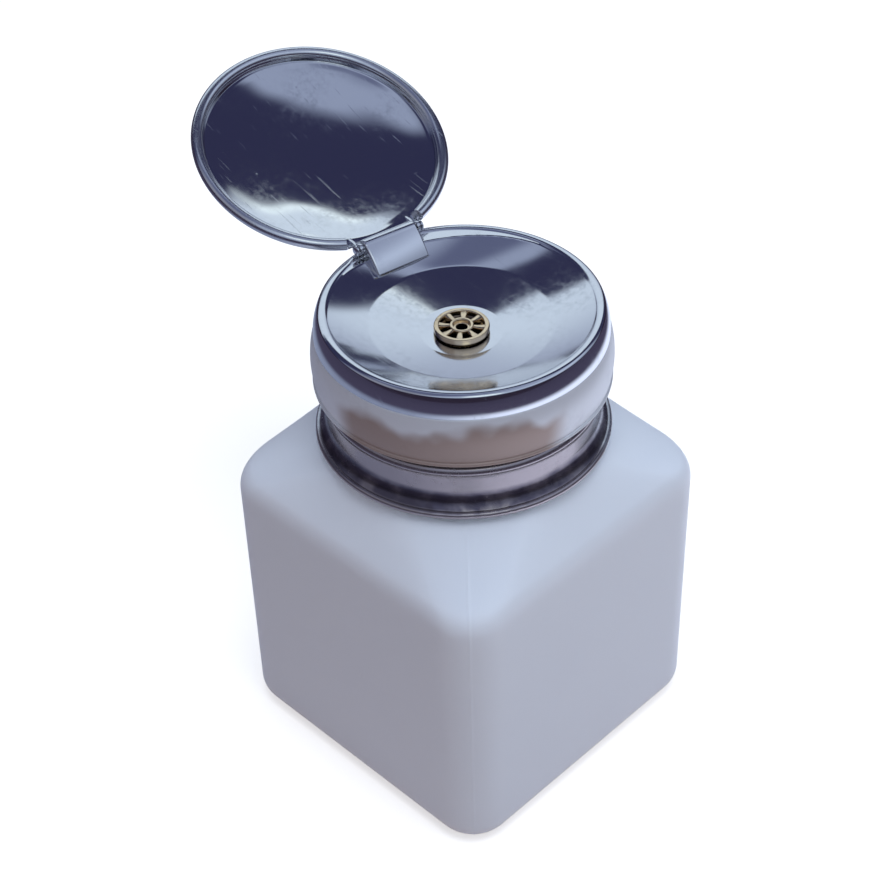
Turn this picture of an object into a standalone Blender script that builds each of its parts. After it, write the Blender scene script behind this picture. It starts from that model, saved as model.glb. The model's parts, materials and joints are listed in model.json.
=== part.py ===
"""Square pump dispenser bottle with a press-down dish and a flip-up lid.

Blow-moulded square bottle, turned metal collar, spring-loaded lift pump with two
ball valves, metal dish head with a spoked nozzle, and a hinged metal lid.
Metres, +Z up, origin at the centre of the bottle's flat base.
"""
import math

import bmesh
import bpy
from mathutils import Matrix, Vector

# Fits and facets
CLEARANCE = 0.0003
WELD_DISTANCE = 0.000001
LARGE_FACETS = 48
LINER_FACETS = 32
SMALL_FACETS = 24
FINE_FACETS = 16
CUT_OVERRUN = 0.001
SMOOTH_ANGLE = math.radians(30)

# Bottle
BOTTLE_WIDTH = 0.0570
BOTTLE_WALL = 0.0013
BOTTLE_CORNER_RADIUS = 0.0072
BASE_EDGE_RADIUS = 0.0042
SHOULDER_CORNER_HEIGHT = 0.0516
SHOULDER_EDGE_RADIUS = 0.0050
SHOULDER_TOP_HEIGHT = 0.0610
NECK_RADIUS = 0.0165
SHOULDER_LEDGE = 0.0055
NECK_WALL = 0.0022
NECK_HEIGHT = 0.0053
NECK_ROOT_RADIUS = 0.0010
NECK_RIM_BREAK = 0.0004
CORNER_STEPS = 6
SIDE_STEPS = 4
EDGE_STEPS = 4

# Collar and its threaded liner
COLLAR_SHEET = 0.0004
COLLAR_HEIGHT = 0.0089
COLLAR_SLEEVE_STEP = 0.0022
COLLAR_SLEEVE_HEIGHT = 0.0056
COLLAR_SLEEVE_LIP = 0.0010
COLLAR_TOP_BEAD = 0.0003
COLLAR_TOP_ROUND = 0.0011
COLLAR_FLARE_HEIGHT = 0.0045
COLLAR_RIM_FLARE = 0.0020
COLLAR_RIM_BEAD = 0.00065
FLARE_MIDDLE_SHARES = (0.3, 0.35)
TOP_BEAD_SHARES = (0.6, 0.5)
LINER_WALL = 0.0013
LINER_HOLLOW = 0.0019
LINER_WEB = 0.0012
LINER_LIP = 0.0008
LINER_MOUTH_RADIUS = 0.0120
LINER_LIFT = 0.0014
GASKET_THICKNESS = 0.0006
GASKET_WIDTH = 0.0018

# Pump core
FLANGE_THICKNESS = 0.0008
CYLINDER_BORE_RADIUS = 0.0065
CYLINDER_WALL = 0.0015
GUIDE_LENGTH = 0.0040
GUIDE_FLANGE = 0.0006
GUIDE_FLANGE_OVERLAP = 0.0012
PISTON_HEIGHT = 0.0070
RETAINER_THICKNESS = 0.0008
RETAINER_HOLE_RADIUS = 0.0010
VALVE_POCKET_RADIUS = 0.0023
VALVE_POCKET_DEPTH = 0.0043
VALVE_WEB = 0.0010
FOOT_SEAT_RADIUS = 0.0012
FOOT_BALL_RADIUS = 0.0016
TUBE_SOCKET_DEPTH = 0.0060
TUBE_SOCKET_WALL = 0.0010
TUBE_RADIUS = 0.0025
TUBE_WALL = 0.0008
TUBE_FLOOR_GAP = 0.0022
TUBE_SLANT_SHARE = 0.7

# Return spring
SPRING_WIRE_RADIUS = 0.00045
SPRING_RADIUS = 0.0048
SPRING_CURLS = 6
SPRING_POINTS_PER_CURL = 10
PRESSED_SPARE_LENGTH = 0.0026

# Stem and piston
STEM_RADIUS = 0.0032
STEM_BORE_RADIUS = 0.0012
STEM_SOCKET_RADIUS = 0.0022
STEM_SOCKET_DEPTH = 0.0030
SEAL_GROOVE_DEPTH = 0.0012
SEAL_GROOVE_HEIGHT = 0.0022
SEAL_GROOVE_LIFT = 0.0024
SEAL_LIP = 0.0004
PISTON_WEB = 0.0012
PISTON_CHAMBER_RADIUS = 0.0021
PISTON_CHAMBER_HEIGHT = 0.0042
DISCHARGE_SEAT_RADIUS = 0.0011
DISCHARGE_BALL_RADIUS = 0.0015
BALL_LIFT = 0.0001

# Head: skirt and dish
HEAD_TRAVEL = 0.0060
HEAD_GAP = 0.0017
SKIRT_SHEET = 0.00045
SKIRT_HEIGHT = 0.0088
SKIRT_RUNNING_GAP = 0.0007
SKIRT_LIP_WIDTH = 0.0005
SKIRT_BELLY = 0.0004
SKIRT_BELLY_HEIGHT = 0.0040
SKIRT_FOOT_ROUND = 0.0007
SPIGOT_HEIGHT = 0.0028
DISH_SHEET = 0.0005
DISH_RIM_HEIGHT = 0.0036
DISH_CREASE_INSET = 0.0004
DISH_RIM_BULGE = 0.00015
DISH_RIM_WIDTH = 0.00225
DISH_BEAD_RISE = 0.00035
BOWL_DEPTH = 0.00455
BOWL_FLAT_RADIUS = 0.0075
BOWL_STEPS = 5
BEAD_MIDDLE_SHARE = 0.55
BEAD_FOOT_SHARES = (0.05, 0.45)

# Nozzle and its clamp
NOZZLE_FLANGE_RADIUS = 0.0044
NOZZLE_FLANGE_THICKNESS = 0.0009
NOZZLE_RING_WIDTH = 0.0008
NOZZLE_FLANGE_LEDGE = 0.0006
NOZZLE_BODY_LENGTH = 0.0038
NOZZLE_WALL = 0.0006
NOZZLE_FLOOR = 0.0010
NOZZLE_HUB_RADIUS = 0.0019
NOZZLE_HUB_BORE = 0.0009
NOZZLE_HUB_COUNTERBORE = 0.0013
NOZZLE_HUB_STEP = 0.0003
NOZZLE_SPOKES = 8
NOZZLE_FACETS_PER_SPOKE = 3
SPOKE_ROOT_WIDTH = 0.0006
SPOKE_TIP_WIDTH = 0.0012
SPOKE_PHASE = math.radians(-7.25)
SPOKE_THICKNESS = 0.0007
SPIGOT_RADIUS = 0.0019
NOZZLE_SPIGOT_LENGTH = 0.0026
WASHER_THICKNESS = 0.0006
WASHER_WIDTH = 0.0027
NUT_THICKNESS = 0.0016
NUT_ACROSS_FLATS = 0.0112
NUT_SIDES = 6

# Hinge and lid
HINGE_ANGLE = math.radians(168.9)
HINGE_INSET = 0.0006
HINGE_RISE = 0.0016
LID_OPEN_ANGLE = math.radians(159.0)
PIN_RADIUS = 0.00045
PIN_HEAD_RADIUS = 0.0010
PIN_HEAD_LENGTH = 0.0005
EYE_WALL = 0.0004
BRACKET_WIDTH = 0.0098
BRACKET_SHEET = 0.0005
BRACKET_RUN = 0.0045
BRACKET_CURL_END = 20
BRACKET_FOOT_WIDTH = 0.0008
BRACKET_SEAT_SHARES = (0.0, 0.35, 0.7)
LID_SETBACK = 0.0006
LID_OVERHANG = 0.0003
LID_SHEET = 0.0005
LID_BEAD_RADIUS = 0.0010
LID_BEAD_LIFT = 0.0001
LID_DOME_RISE = 0.0009
LID_RECESS = 0.0007
LID_COVE_WIDTH = 0.0009
LID_NOTCH_DEPTH = 0.0030
LID_TAB_INSET = 0.0014
LID_EAR_WEB_SHARES = (0.8, 0.6)

# Radii worked out from the sizes above, from the neck outwards
SHOULDER_TOP_RADIUS = NECK_RADIUS + SHOULDER_LEDGE
LINER_INNER_RADIUS = NECK_RADIUS + CLEARANCE
LINER_OUTER_RADIUS = LINER_INNER_RADIUS + 2 * LINER_WALL + LINER_HOLLOW
COLLAR_RADIUS = LINER_OUTER_RADIUS + CLEARANCE + COLLAR_SHEET
COLLAR_SLEEVE_RADIUS = COLLAR_RADIUS - COLLAR_SLEEVE_STEP
COLLAR_RIM_RADIUS = COLLAR_RADIUS + COLLAR_RIM_FLARE
SKIRT_LIP_RADIUS = COLLAR_RADIUS + COLLAR_TOP_BEAD + SKIRT_RUNNING_GAP
SKIRT_FOOT_RADIUS = SKIRT_LIP_RADIUS + SKIRT_LIP_WIDTH
SKIRT_BELLY_RADIUS = SKIRT_FOOT_RADIUS + SKIRT_BELLY
DISH_CREASE_RADIUS = SKIRT_FOOT_RADIUS - DISH_CREASE_INSET
DISH_RIM_RADIUS = DISH_CREASE_RADIUS + DISH_RIM_BULGE
DISH_CREST_RADIUS = DISH_RIM_RADIUS - DISH_RIM_WIDTH
NOZZLE_BODY_RADIUS = NOZZLE_FLANGE_RADIUS - NOZZLE_FLANGE_LEDGE
NOZZLE_CHAMBER_RADIUS = NOZZLE_BODY_RADIUS - NOZZLE_WALL
HINGE_REACH = DISH_CREST_RADIUS - HINGE_INSET
BRACKET_FOOT_REACH = HINGE_REACH - BRACKET_RUN
LID_CENTRE_REACH = HINGE_REACH + LID_SETBACK
LID_RADIUS = DISH_CREST_RADIUS + LID_OVERHANG
EYE_HOLE_RADIUS = PIN_RADIUS + CLEARANCE
EYE_RADIUS = EYE_HOLE_RADIUS + EYE_WALL
BRACKET_CURL_RADIUS = EYE_HOLE_RADIUS + BRACKET_SHEET

# Places along the pin, worked out from the bracket outwards
BRACKET_HALF = BRACKET_WIDTH / 2
LID_EAR_INNER = BRACKET_HALF + CLEARANCE
LID_EAR_OUTER = LID_EAR_INNER + LID_SHEET
PIN_HEAD_INNER = LID_EAR_OUTER + CLEARANCE
PIN_TIP = PIN_HEAD_INNER + PIN_HEAD_LENGTH
LID_NOTCH_HALF = PIN_TIP + CLEARANCE

# Heights worked out from the sizes above, from the bottle upwards
NECK_TOP = SHOULDER_TOP_HEIGHT + NECK_HEIGHT
GASKET_BOTTOM = NECK_TOP + CLEARANCE
FLANGE_BOTTOM = GASKET_BOTTOM + GASKET_THICKNESS + CLEARANCE
FLANGE_TOP = FLANGE_BOTTOM + FLANGE_THICKNESS
LIP_BOTTOM = FLANGE_TOP + CLEARANCE
LINER_TOP = LIP_BOTTOM + LINER_LIP
COLLAR_TOP = LINER_TOP + CLEARANCE + COLLAR_SHEET
COLLAR_BOTTOM = COLLAR_TOP - COLLAR_HEIGHT
SKIRT_BOTTOM = COLLAR_TOP + HEAD_GAP
CREASE_HEIGHT = SKIRT_BOTTOM + SKIRT_HEIGHT
CREST_HEIGHT = CREASE_HEIGHT + DISH_RIM_HEIGHT
BOWL_FLOOR = CREST_HEIGHT - BOWL_DEPTH
HINGE_HEIGHT = CREST_HEIGHT + HINGE_RISE

# Heights of the pump, worked out from the flange downwards
SPRING_LENGTH = HEAD_TRAVEL + 2 * SPRING_WIRE_RADIUS * SPRING_CURLS + PRESSED_SPARE_LENGTH
GUIDE_BOTTOM = FLANGE_TOP - GUIDE_LENGTH
PISTON_TOP = GUIDE_BOTTOM - CLEARANCE
PISTON_BOTTOM = PISTON_TOP - PISTON_HEIGHT
SPRING_TOP = PISTON_BOTTOM - CLEARANCE
SPRING_BOTTOM = SPRING_TOP - SPRING_LENGTH
RETAINER_TOP = SPRING_BOTTOM - CLEARANCE
RETAINER_BOTTOM = RETAINER_TOP - RETAINER_THICKNESS
VALVE_SHELF = RETAINER_BOTTOM - CLEARANCE
FOOT_SEAT = VALVE_SHELF - VALVE_POCKET_DEPTH
SOCKET_TOP = FOOT_SEAT - VALVE_WEB
SOCKET_BOTTOM = SOCKET_TOP - TUBE_SOCKET_DEPTH
TUBE_TOP = SOCKET_TOP - CLEARANCE
TUBE_BOTTOM = BOTTLE_WALL + TUBE_FLOOR_GAP
DISCHARGE_SEAT = PISTON_BOTTOM + PISTON_WEB
CHAMBER_TOP = DISCHARGE_SEAT + PISTON_CHAMBER_HEIGHT
STEM_BOTTOM = CHAMBER_TOP + CLEARANCE

# Heights of the nozzle and its clamp, from the dish downwards
NOZZLE_FLANGE_BOTTOM = BOWL_FLOOR + CLEARANCE
NOZZLE_TOP = NOZZLE_FLANGE_BOTTOM + NOZZLE_FLANGE_THICKNESS
NOZZLE_BODY_BOTTOM = NOZZLE_FLANGE_BOTTOM - NOZZLE_BODY_LENGTH
WASHER_TOP = BOWL_FLOOR - DISH_SHEET - CLEARANCE
NUT_TOP = WASHER_TOP - WASHER_THICKNESS - CLEARANCE
STEM_TOP = NOZZLE_BODY_BOTTOM - CLEARANCE


def clear_scene():
    for item in list(bpy.data.objects):
        bpy.data.objects.remove(item, do_unlink=True)


def make_material(name, colour, roughness, metallic):
    material = bpy.data.materials.new(name)
    material.use_nodes = True
    shader = material.node_tree.nodes["Principled BSDF"]
    shader.inputs["Base Color"].default_value = (*colour, 1.0)
    shader.inputs["Roughness"].default_value = roughness
    shader.inputs["Metallic"].default_value = metallic
    return material


def milky_plastic(name):
    return make_material(name, (0.84, 0.87, 0.94), 0.38, 0.0)


def polished_steel(name):
    return make_material(name, (0.68, 0.69, 0.73), 0.16, 1.0)


def dull_brass(name):
    return make_material(name, (0.62, 0.46, 0.24), 0.32, 1.0)


def white_moulding(name):
    return make_material(name, (0.88, 0.88, 0.86), 0.45, 0.0)


def spring_steel(name):
    return make_material(name, (0.55, 0.55, 0.57), 0.28, 1.0)


def black_rubber(name):
    return make_material(name, (0.05, 0.05, 0.055), 0.7, 0.0)


# Outlines

def arc_through(first, middle, last, steps):
    """Points of the circle through three points, both ends included."""
    (ax, ay), (bx, by), (cx, cy) = first, middle, last
    cross = 2 * (ax * (by - cy) + bx * (cy - ay) + cx * (ay - by))
    a2, b2, c2 = ax * ax + ay * ay, bx * bx + by * by, cx * cx + cy * cy
    ox = (a2 * (by - cy) + b2 * (cy - ay) + c2 * (ay - by)) / cross
    oy = (a2 * (cx - bx) + b2 * (ax - cx) + c2 * (bx - ax)) / cross
    radius = math.hypot(ax - ox, ay - oy)
    start = math.atan2(ay - oy, ax - ox)
    end = math.atan2(cy - oy, cx - ox)
    via = math.atan2(by - oy, bx - ox)
    turn = (end - start) % math.tau
    if (via - start) % math.tau > turn:
        turn -= math.tau
    angles = [start + turn * step / steps for step in range(steps + 1)]
    return [(ox + radius * math.cos(a), oy + radius * math.sin(a)) for a in angles]


def arc_about(centre, radius, start, end, steps):
    """Points of an arc about a centre; angles in degrees."""
    angles = [math.radians(start + (end - start) * step / steps) for step in range(steps + 1)]
    return [(centre[0] + radius * math.cos(a), centre[1] + radius * math.sin(a)) for a in angles]


def offset_path(path, distance):
    """The path moved sideways to the left of its travel, with mitred corners."""
    moved = []
    for index, point in enumerate(path):
        before = path[max(index - 1, 0)]
        after = path[min(index + 1, len(path) - 1)]
        normals = []
        for tail, tip in ((before, point), (point, after)):
            run, rise = tip[0] - tail[0], tip[1] - tail[1]
            length = math.hypot(run, rise)
            if length > 0:
                normals.append((-rise / length, run / length))
        nx = sum(n[0] for n in normals) / len(normals)
        ny = sum(n[1] for n in normals) / len(normals)
        scale = distance / (nx * nx + ny * ny)
        moved.append((point[0] + nx * scale, point[1] + ny * scale))
    return moved


def sheet_outline(path, thickness):
    """Closed outline of a sheet whose one face follows the path."""
    return path + offset_path(path, thickness)[::-1]


# Bodies

def finish_mesh(name, mesh, material):
    data = bpy.data.meshes.new(name)
    mesh.to_mesh(data)
    mesh.free()
    data.shade_smooth()
    data.set_sharp_from_angle(angle=SMOOTH_ANGLE)
    data.materials.append(material)
    piece = bpy.data.objects.new(name, data)
    bpy.context.scene.collection.objects.link(piece)
    return piece


def turned_mesh(outline, facets):
    """The outline turned once about the Z axis."""
    mesh = bmesh.new()
    points = [mesh.verts.new((radius, 0, height)) for radius, height in outline]
    pairs = list(zip(points, points[1:]))
    if outline[0][0] > 0 or outline[-1][0] > 0:
        pairs.append((points[-1], points[0]))
    edges = [mesh.edges.new(pair) for pair in pairs]
    bmesh.ops.spin(mesh, geom=points + edges, cent=(0, 0, 0), axis=(0, 0, 1),
                   angle=math.tau, steps=facets, use_merge=True, use_duplicate=False)
    bmesh.ops.remove_doubles(mesh, verts=mesh.verts, dist=WELD_DISTANCE)
    bmesh.ops.recalc_face_normals(mesh, faces=mesh.faces)
    return mesh


def turned(name, outline, material, facets=LARGE_FACETS):
    return finish_mesh(name, turned_mesh(outline, facets), material)


def lofted_mesh(rings):
    """A closed skin through rings of equal count, capped at both ends."""
    mesh = bmesh.new()
    rows = [[mesh.verts.new(point) for point in ring] for ring in rings]
    count = len(rows[0])
    for low, high in zip(rows, rows[1:]):
        for index in range(count):
            after = (index + 1) % count
            mesh.faces.new((low[index], low[after], high[after], high[index]))
    mesh.faces.new(rows[0][::-1])
    mesh.faces.new(rows[-1])
    bmesh.ops.recalc_face_normals(mesh, faces=mesh.faces)
    return mesh


def add_prism(mesh, outline, place, low, high):
    """Add a prism to a mesh: place(x, y, depth) maps its points."""
    ends = [[mesh.verts.new(place(x, y, depth)) for x, y in outline] for depth in (low, high)]
    count = len(outline)
    for index in range(count):
        after = (index + 1) % count
        mesh.faces.new((ends[0][index], ends[0][after], ends[1][after], ends[1][index]))
    mesh.faces.new(ends[0][::-1])
    mesh.faces.new(ends[1])
    bmesh.ops.recalc_face_normals(mesh, faces=mesh.faces)


def prism(name, outline, place, low, high, material):
    mesh = bmesh.new()
    add_prism(mesh, outline, place, low, high)
    return finish_mesh(name, mesh, material)


def ball(name, radius, height, material):
    mesh = bmesh.new()
    bmesh.ops.create_icosphere(mesh, subdivisions=2, radius=radius)
    piece = finish_mesh(name, mesh, material)
    piece.location = (0, 0, height)
    return piece


def as_tool(piece):
    """Mark a piece as a helper for another piece's Boolean."""
    piece.hide_render = True
    piece.display_type = 'WIRE'
    return piece


def combine(piece, tool, operation):
    change = piece.modifiers.new(tool.name, 'BOOLEAN')
    change.operation = operation
    change.solver = 'EXACT'
    change.object = as_tool(tool)


# Bottle

def square_point(index, half, radius):
    """Point of a rounded square, counted round from the first corner's start."""
    steps = CORNER_STEPS + SIDE_STEPS
    corner, step = divmod(index, steps)
    centre = half - radius
    turn = math.pi / 2 * corner
    if step <= CORNER_STEPS:
        angle = math.pi / 2 * step / CORNER_STEPS
        x, y = centre + radius * math.cos(angle), centre + radius * math.sin(angle)
    else:
        share = (step - CORNER_STEPS) / SIDE_STEPS
        x, y = centre - 2 * centre * share, half
    return (x * math.cos(turn) - y * math.sin(turn), x * math.sin(turn) + y * math.cos(turn))


def bottle_ring(half, corner_radius, blend, round_radius, height):
    """Ring between a rounded square (blend 0) and a circle (blend 1)."""
    steps = CORNER_STEPS + SIDE_STEPS
    total = 4 * steps
    ring = []
    for index in range(total):
        sx, sy = square_point(index, half, corner_radius)
        angle = math.tau * (index - CORNER_STEPS / 2) / total + math.pi / 4
        cx, cy = round_radius * math.cos(angle), round_radius * math.sin(angle)
        ring.append((sx + (cx - sx) * blend, sy + (cy - sy) * blend, height))
    return ring


def bottle_skin(wall):
    """Rings of the bottle's skin up to the neck's root, set in by a wall's thickness."""
    half = BOTTLE_WIDTH / 2 - wall
    corner = BOTTLE_CORNER_RADIUS - wall
    edge = BASE_EDGE_RADIUS - wall
    top_radius = SHOULDER_TOP_RADIUS - wall
    top_height = SHOULDER_TOP_HEIGHT - wall
    diagonal = (half - corner) * math.sqrt(2) + corner
    run = diagonal - top_radius
    slope = math.atan2(SHOULDER_TOP_HEIGHT - SHOULDER_CORNER_HEIGHT, run)
    rounding = SHOULDER_EDGE_RADIUS - wall
    turn = math.pi / 2 - slope
    tangent = rounding * math.tan(turn / 2)
    meeting = top_height - run * math.tan(slope)
    rings = []
    for step in range(EDGE_STEPS + 1):
        angle = math.pi / 2 * step / EDGE_STEPS
        inset = edge * (1 - math.sin(angle))
        height = wall + edge * (1 - math.cos(angle))
        rings.append(bottle_ring(half - inset, corner - inset, 0, top_radius, height))
    for step in range(EDGE_STEPS + 2):
        angle = turn * step / (EDGE_STEPS + 1)
        inward = rounding * (1 - math.cos(angle))
        height = meeting - tangent + rounding * math.sin(angle)
        rings.append(bottle_ring(half, corner, inward / run, top_radius, height))
    arc_end = rounding * (1 - math.cos(turn)) / run
    for share in (0.5, 1.0):
        blend = arc_end + (1 - arc_end) * share
        height = meeting + run * blend * math.tan(slope)
        rings.append(bottle_ring(half, corner, blend, top_radius, height))
    return rings


def round_ring(radius, height):
    half = BOTTLE_WIDTH / 2
    return bottle_ring(half, BOTTLE_CORNER_RADIUS, 1, radius, height)


def make_bottle():
    outer = bottle_skin(0)
    bore = NECK_RADIUS - NECK_WALL
    root = arc_about((NECK_RADIUS + NECK_ROOT_RADIUS, SHOULDER_TOP_HEIGHT + NECK_ROOT_RADIUS),
                     NECK_ROOT_RADIUS, -90, -180, 3)
    neck = [round_ring(radius, height) for radius, height in root]
    neck.append(round_ring(NECK_RADIUS, NECK_TOP - NECK_RIM_BREAK))
    neck.append(round_ring(NECK_RADIUS - NECK_RIM_BREAK, NECK_TOP))
    neck.append(round_ring(bore + NECK_RIM_BREAK, NECK_TOP))
    neck.append(round_ring(bore, NECK_TOP - NECK_RIM_BREAK))
    inner_top = SHOULDER_TOP_HEIGHT - BOTTLE_WALL
    neck.append(round_ring(bore, inner_top + NECK_ROOT_RADIUS))
    neck.append(round_ring(bore + NECK_ROOT_RADIUS, inner_top))
    inner = bottle_skin(BOTTLE_WALL)[::-1]
    mesh = lofted_mesh(outer + neck + inner)
    return finish_mesh("bottle", mesh, milky_plastic("bottle_plastic"))


# Collar

def make_collar():
    inner_wall = COLLAR_RADIUS - COLLAR_SHEET
    bead_centre = (COLLAR_RIM_RADIUS - COLLAR_RIM_BEAD, COLLAR_BOTTOM + COLLAR_RIM_BEAD)
    flare_top = COLLAR_BOTTOM + COLLAR_FLARE_HEIGHT
    flare_foot = (bead_centre[0], bead_centre[1] + COLLAR_RIM_BEAD)
    flare_run = flare_foot[0] - COLLAR_RADIUS
    flare_rise = flare_top - flare_foot[1]
    flare_middle = (COLLAR_RADIUS + flare_run * FLARE_MIDDLE_SHARES[0],
                    flare_foot[1] + flare_rise * FLARE_MIDDLE_SHARES[1])
    bead_height = COLLAR_TOP - COLLAR_TOP_ROUND
    low_share, high_share = TOP_BEAD_SHARES
    shoulder = arc_through((COLLAR_RADIUS + COLLAR_TOP_BEAD * low_share,
                            bead_height - COLLAR_TOP_BEAD),
                           (COLLAR_RADIUS + COLLAR_TOP_BEAD * high_share,
                            (bead_height + COLLAR_TOP) / 2),
                           (COLLAR_RADIUS - COLLAR_TOP_ROUND / 2, COLLAR_TOP), 3)
    outer = arc_about(bead_centre, COLLAR_RIM_BEAD, -150, 75, 5)
    outer += arc_through(flare_foot, flare_middle, (COLLAR_RADIUS, flare_top), 3)
    outer.append((COLLAR_RADIUS, bead_height - COLLAR_TOP_ROUND))
    outer += shoulder
    sleeve_top = COLLAR_TOP + COLLAR_SLEEVE_HEIGHT
    sleeve_inner = COLLAR_SLEEVE_RADIUS - COLLAR_SHEET
    mouth = sleeve_inner - COLLAR_SLEEVE_LIP
    outer += [(COLLAR_SLEEVE_RADIUS, COLLAR_TOP), (COLLAR_SLEEVE_RADIUS, sleeve_top),
              (mouth, sleeve_top)]
    inner = [(mouth, sleeve_top - COLLAR_SHEET), (sleeve_inner, sleeve_top - COLLAR_SHEET),
             (sleeve_inner, COLLAR_TOP - COLLAR_SHEET),
             (inner_wall, COLLAR_TOP - COLLAR_SHEET),
             (inner_wall, flare_top),
             (flare_middle[0] - COLLAR_SHEET, flare_middle[1]),
             (flare_foot[0] - COLLAR_SHEET, flare_foot[1])]
    return turned("collar", outer + inner, polished_steel("collar_steel"))


def make_thread_liner():
    outer, inner = LINER_OUTER_RADIUS, LINER_INNER_RADIUS
    foot = SHOULDER_TOP_HEIGHT + LINER_LIFT
    web = LINER_TOP - LINER_WEB
    outline = [(LINER_MOUTH_RADIUS, LIP_BOTTOM), (inner, LIP_BOTTOM), (inner, foot),
               (inner + LINER_WALL, foot), (inner + LINER_WALL, web),
               (outer - LINER_WALL, web), (outer - LINER_WALL, foot),
               (outer, foot), (outer, LINER_TOP), (LINER_MOUTH_RADIUS, LINER_TOP)]
    return turned("thread_liner", outline, white_moulding("liner_plastic"), LINER_FACETS)


# Pump core

def make_neck_gasket():
    outer = NECK_RADIUS - NECK_RIM_BREAK
    inner = outer - GASKET_WIDTH
    top = GASKET_BOTTOM + GASKET_THICKNESS
    outline = [(inner, GASKET_BOTTOM), (outer, GASKET_BOTTOM), (outer, top), (inner, top)]
    return turned("neck_gasket", outline, black_rubber("gasket_rubber"), SMALL_FACETS)


def make_pump_cylinder():
    outer = CYLINDER_BORE_RADIUS + CYLINDER_WALL
    socket = TUBE_RADIUS + CLEARANCE
    tail = socket + TUBE_SOCKET_WALL
    flange = NECK_RADIUS - CLEARANCE
    shoulder = SOCKET_TOP
    outline = [(flange, FLANGE_BOTTOM), (flange, FLANGE_TOP), (CYLINDER_BORE_RADIUS, FLANGE_TOP),
               (CYLINDER_BORE_RADIUS, VALVE_SHELF), (VALVE_POCKET_RADIUS, VALVE_SHELF),
               (VALVE_POCKET_RADIUS, FOOT_SEAT), (FOOT_SEAT_RADIUS, FOOT_SEAT),
               (FOOT_SEAT_RADIUS, SOCKET_TOP), (socket, SOCKET_TOP), (socket, SOCKET_BOTTOM),
               (tail, SOCKET_BOTTOM), (tail, shoulder), (outer, VALVE_SHELF - CYLINDER_WALL),
               (outer, FLANGE_BOTTOM)]
    return turned("pump_cylinder", outline, white_moulding("cylinder_plastic"), SMALL_FACETS)


def make_stem_guide():
    hole = STEM_RADIUS + CLEARANCE
    body = CYLINDER_BORE_RADIUS - CLEARANCE
    flange = CYLINDER_BORE_RADIUS + GUIDE_FLANGE_OVERLAP
    low = FLANGE_TOP + CLEARANCE
    outline = [(hole, GUIDE_BOTTOM), (body, GUIDE_BOTTOM), (body, low), (flange, low),
               (flange, low + GUIDE_FLANGE), (hole, low + GUIDE_FLANGE)]
    return turned("stem_guide", outline, white_moulding("guide_plastic"), SMALL_FACETS)


def make_ball_retainer():
    outer = CYLINDER_BORE_RADIUS - CLEARANCE
    outline = [(RETAINER_HOLE_RADIUS, RETAINER_BOTTOM), (outer, RETAINER_BOTTOM),
               (outer, RETAINER_TOP), (RETAINER_HOLE_RADIUS, RETAINER_TOP)]
    return turned("ball_retainer", outline, white_moulding("retainer_plastic"), SMALL_FACETS)


def resting_height(seat, seat_radius, ball_radius):
    return seat + math.sqrt(ball_radius ** 2 - seat_radius ** 2) + BALL_LIFT


def make_foot_ball():
    height = resting_height(FOOT_SEAT, FOOT_SEAT_RADIUS, FOOT_BALL_RADIUS)
    return ball("foot_ball", FOOT_BALL_RADIUS, height, spring_steel("foot_ball_steel"))


def make_dip_tube():
    """Straight tube whose lower end is cut at a slant, so it can't seal on the floor."""
    inner = TUBE_RADIUS - TUBE_WALL
    outline = [(inner, TUBE_BOTTOM), (TUBE_RADIUS, TUBE_BOTTOM), (TUBE_RADIUS, TUBE_TOP),
               (inner, TUBE_TOP)]
    mesh = turned_mesh(outline, FINE_FACETS)
    middle = (TUBE_BOTTOM + TUBE_TOP) / 2
    for vertex in mesh.verts:
        if vertex.co.z < middle:
            vertex.co.z += (vertex.co.x + TUBE_RADIUS) * TUBE_SLANT_SHARE
    return finish_mesh("dip_tube", mesh, milky_plastic("tube_plastic"))


def spring_points():
    """Centre line of the return spring, with nearly closed end curls."""
    low = SPRING_BOTTOM + SPRING_WIRE_RADIUS
    high = SPRING_TOP - SPRING_WIRE_RADIUS
    total = SPRING_CURLS * SPRING_POINTS_PER_CURL
    points = []
    for step in range(total + 1):
        share = step / total
        angle = math.tau * SPRING_CURLS * share
        points.append(Vector((SPRING_RADIUS * math.cos(angle), SPRING_RADIUS * math.sin(angle),
                              low + (high - low) * share)))
    return points


def least_own_gap(points, wire_radius, points_per_curl):
    """Least gap between one curl of a coil and the next, measured on its points."""
    nearest = min((a - b).length
                  for index, a in enumerate(points)
                  for b in points[index + points_per_curl // 2:])
    return nearest - 2 * wire_radius


def make_return_spring():
    points = spring_points()
    gap = least_own_gap(points, SPRING_WIRE_RADIUS, SPRING_POINTS_PER_CURL)
    print(f"return_spring least gap to itself: {gap * 1000:.2f} mm")
    curve = bpy.data.curves.new("return_spring", 'CURVE')
    curve.dimensions = '3D'
    curve.bevel_depth = SPRING_WIRE_RADIUS
    curve.bevel_resolution = 1
    curve.use_fill_caps = True
    line = curve.splines.new('POLY')
    line.points.add(len(points) - 1)
    for target, point in zip(line.points, points):
        target.co = (*point, 1.0)
    curve.materials.append(spring_steel("spring_wire"))
    piece = bpy.data.objects.new("return_spring", curve)
    bpy.context.scene.collection.objects.link(piece)
    return piece


# Stem and piston

def make_stem():
    socket_floor = STEM_TOP - STEM_SOCKET_DEPTH
    outline = [(STEM_BORE_RADIUS, STEM_BOTTOM), (STEM_RADIUS, STEM_BOTTOM),
               (STEM_RADIUS, STEM_TOP), (STEM_SOCKET_RADIUS, STEM_TOP),
               (STEM_SOCKET_RADIUS, socket_floor), (STEM_BORE_RADIUS, socket_floor)]
    return turned("stem", outline, dull_brass("stem_brass"), SMALL_FACETS)


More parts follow.
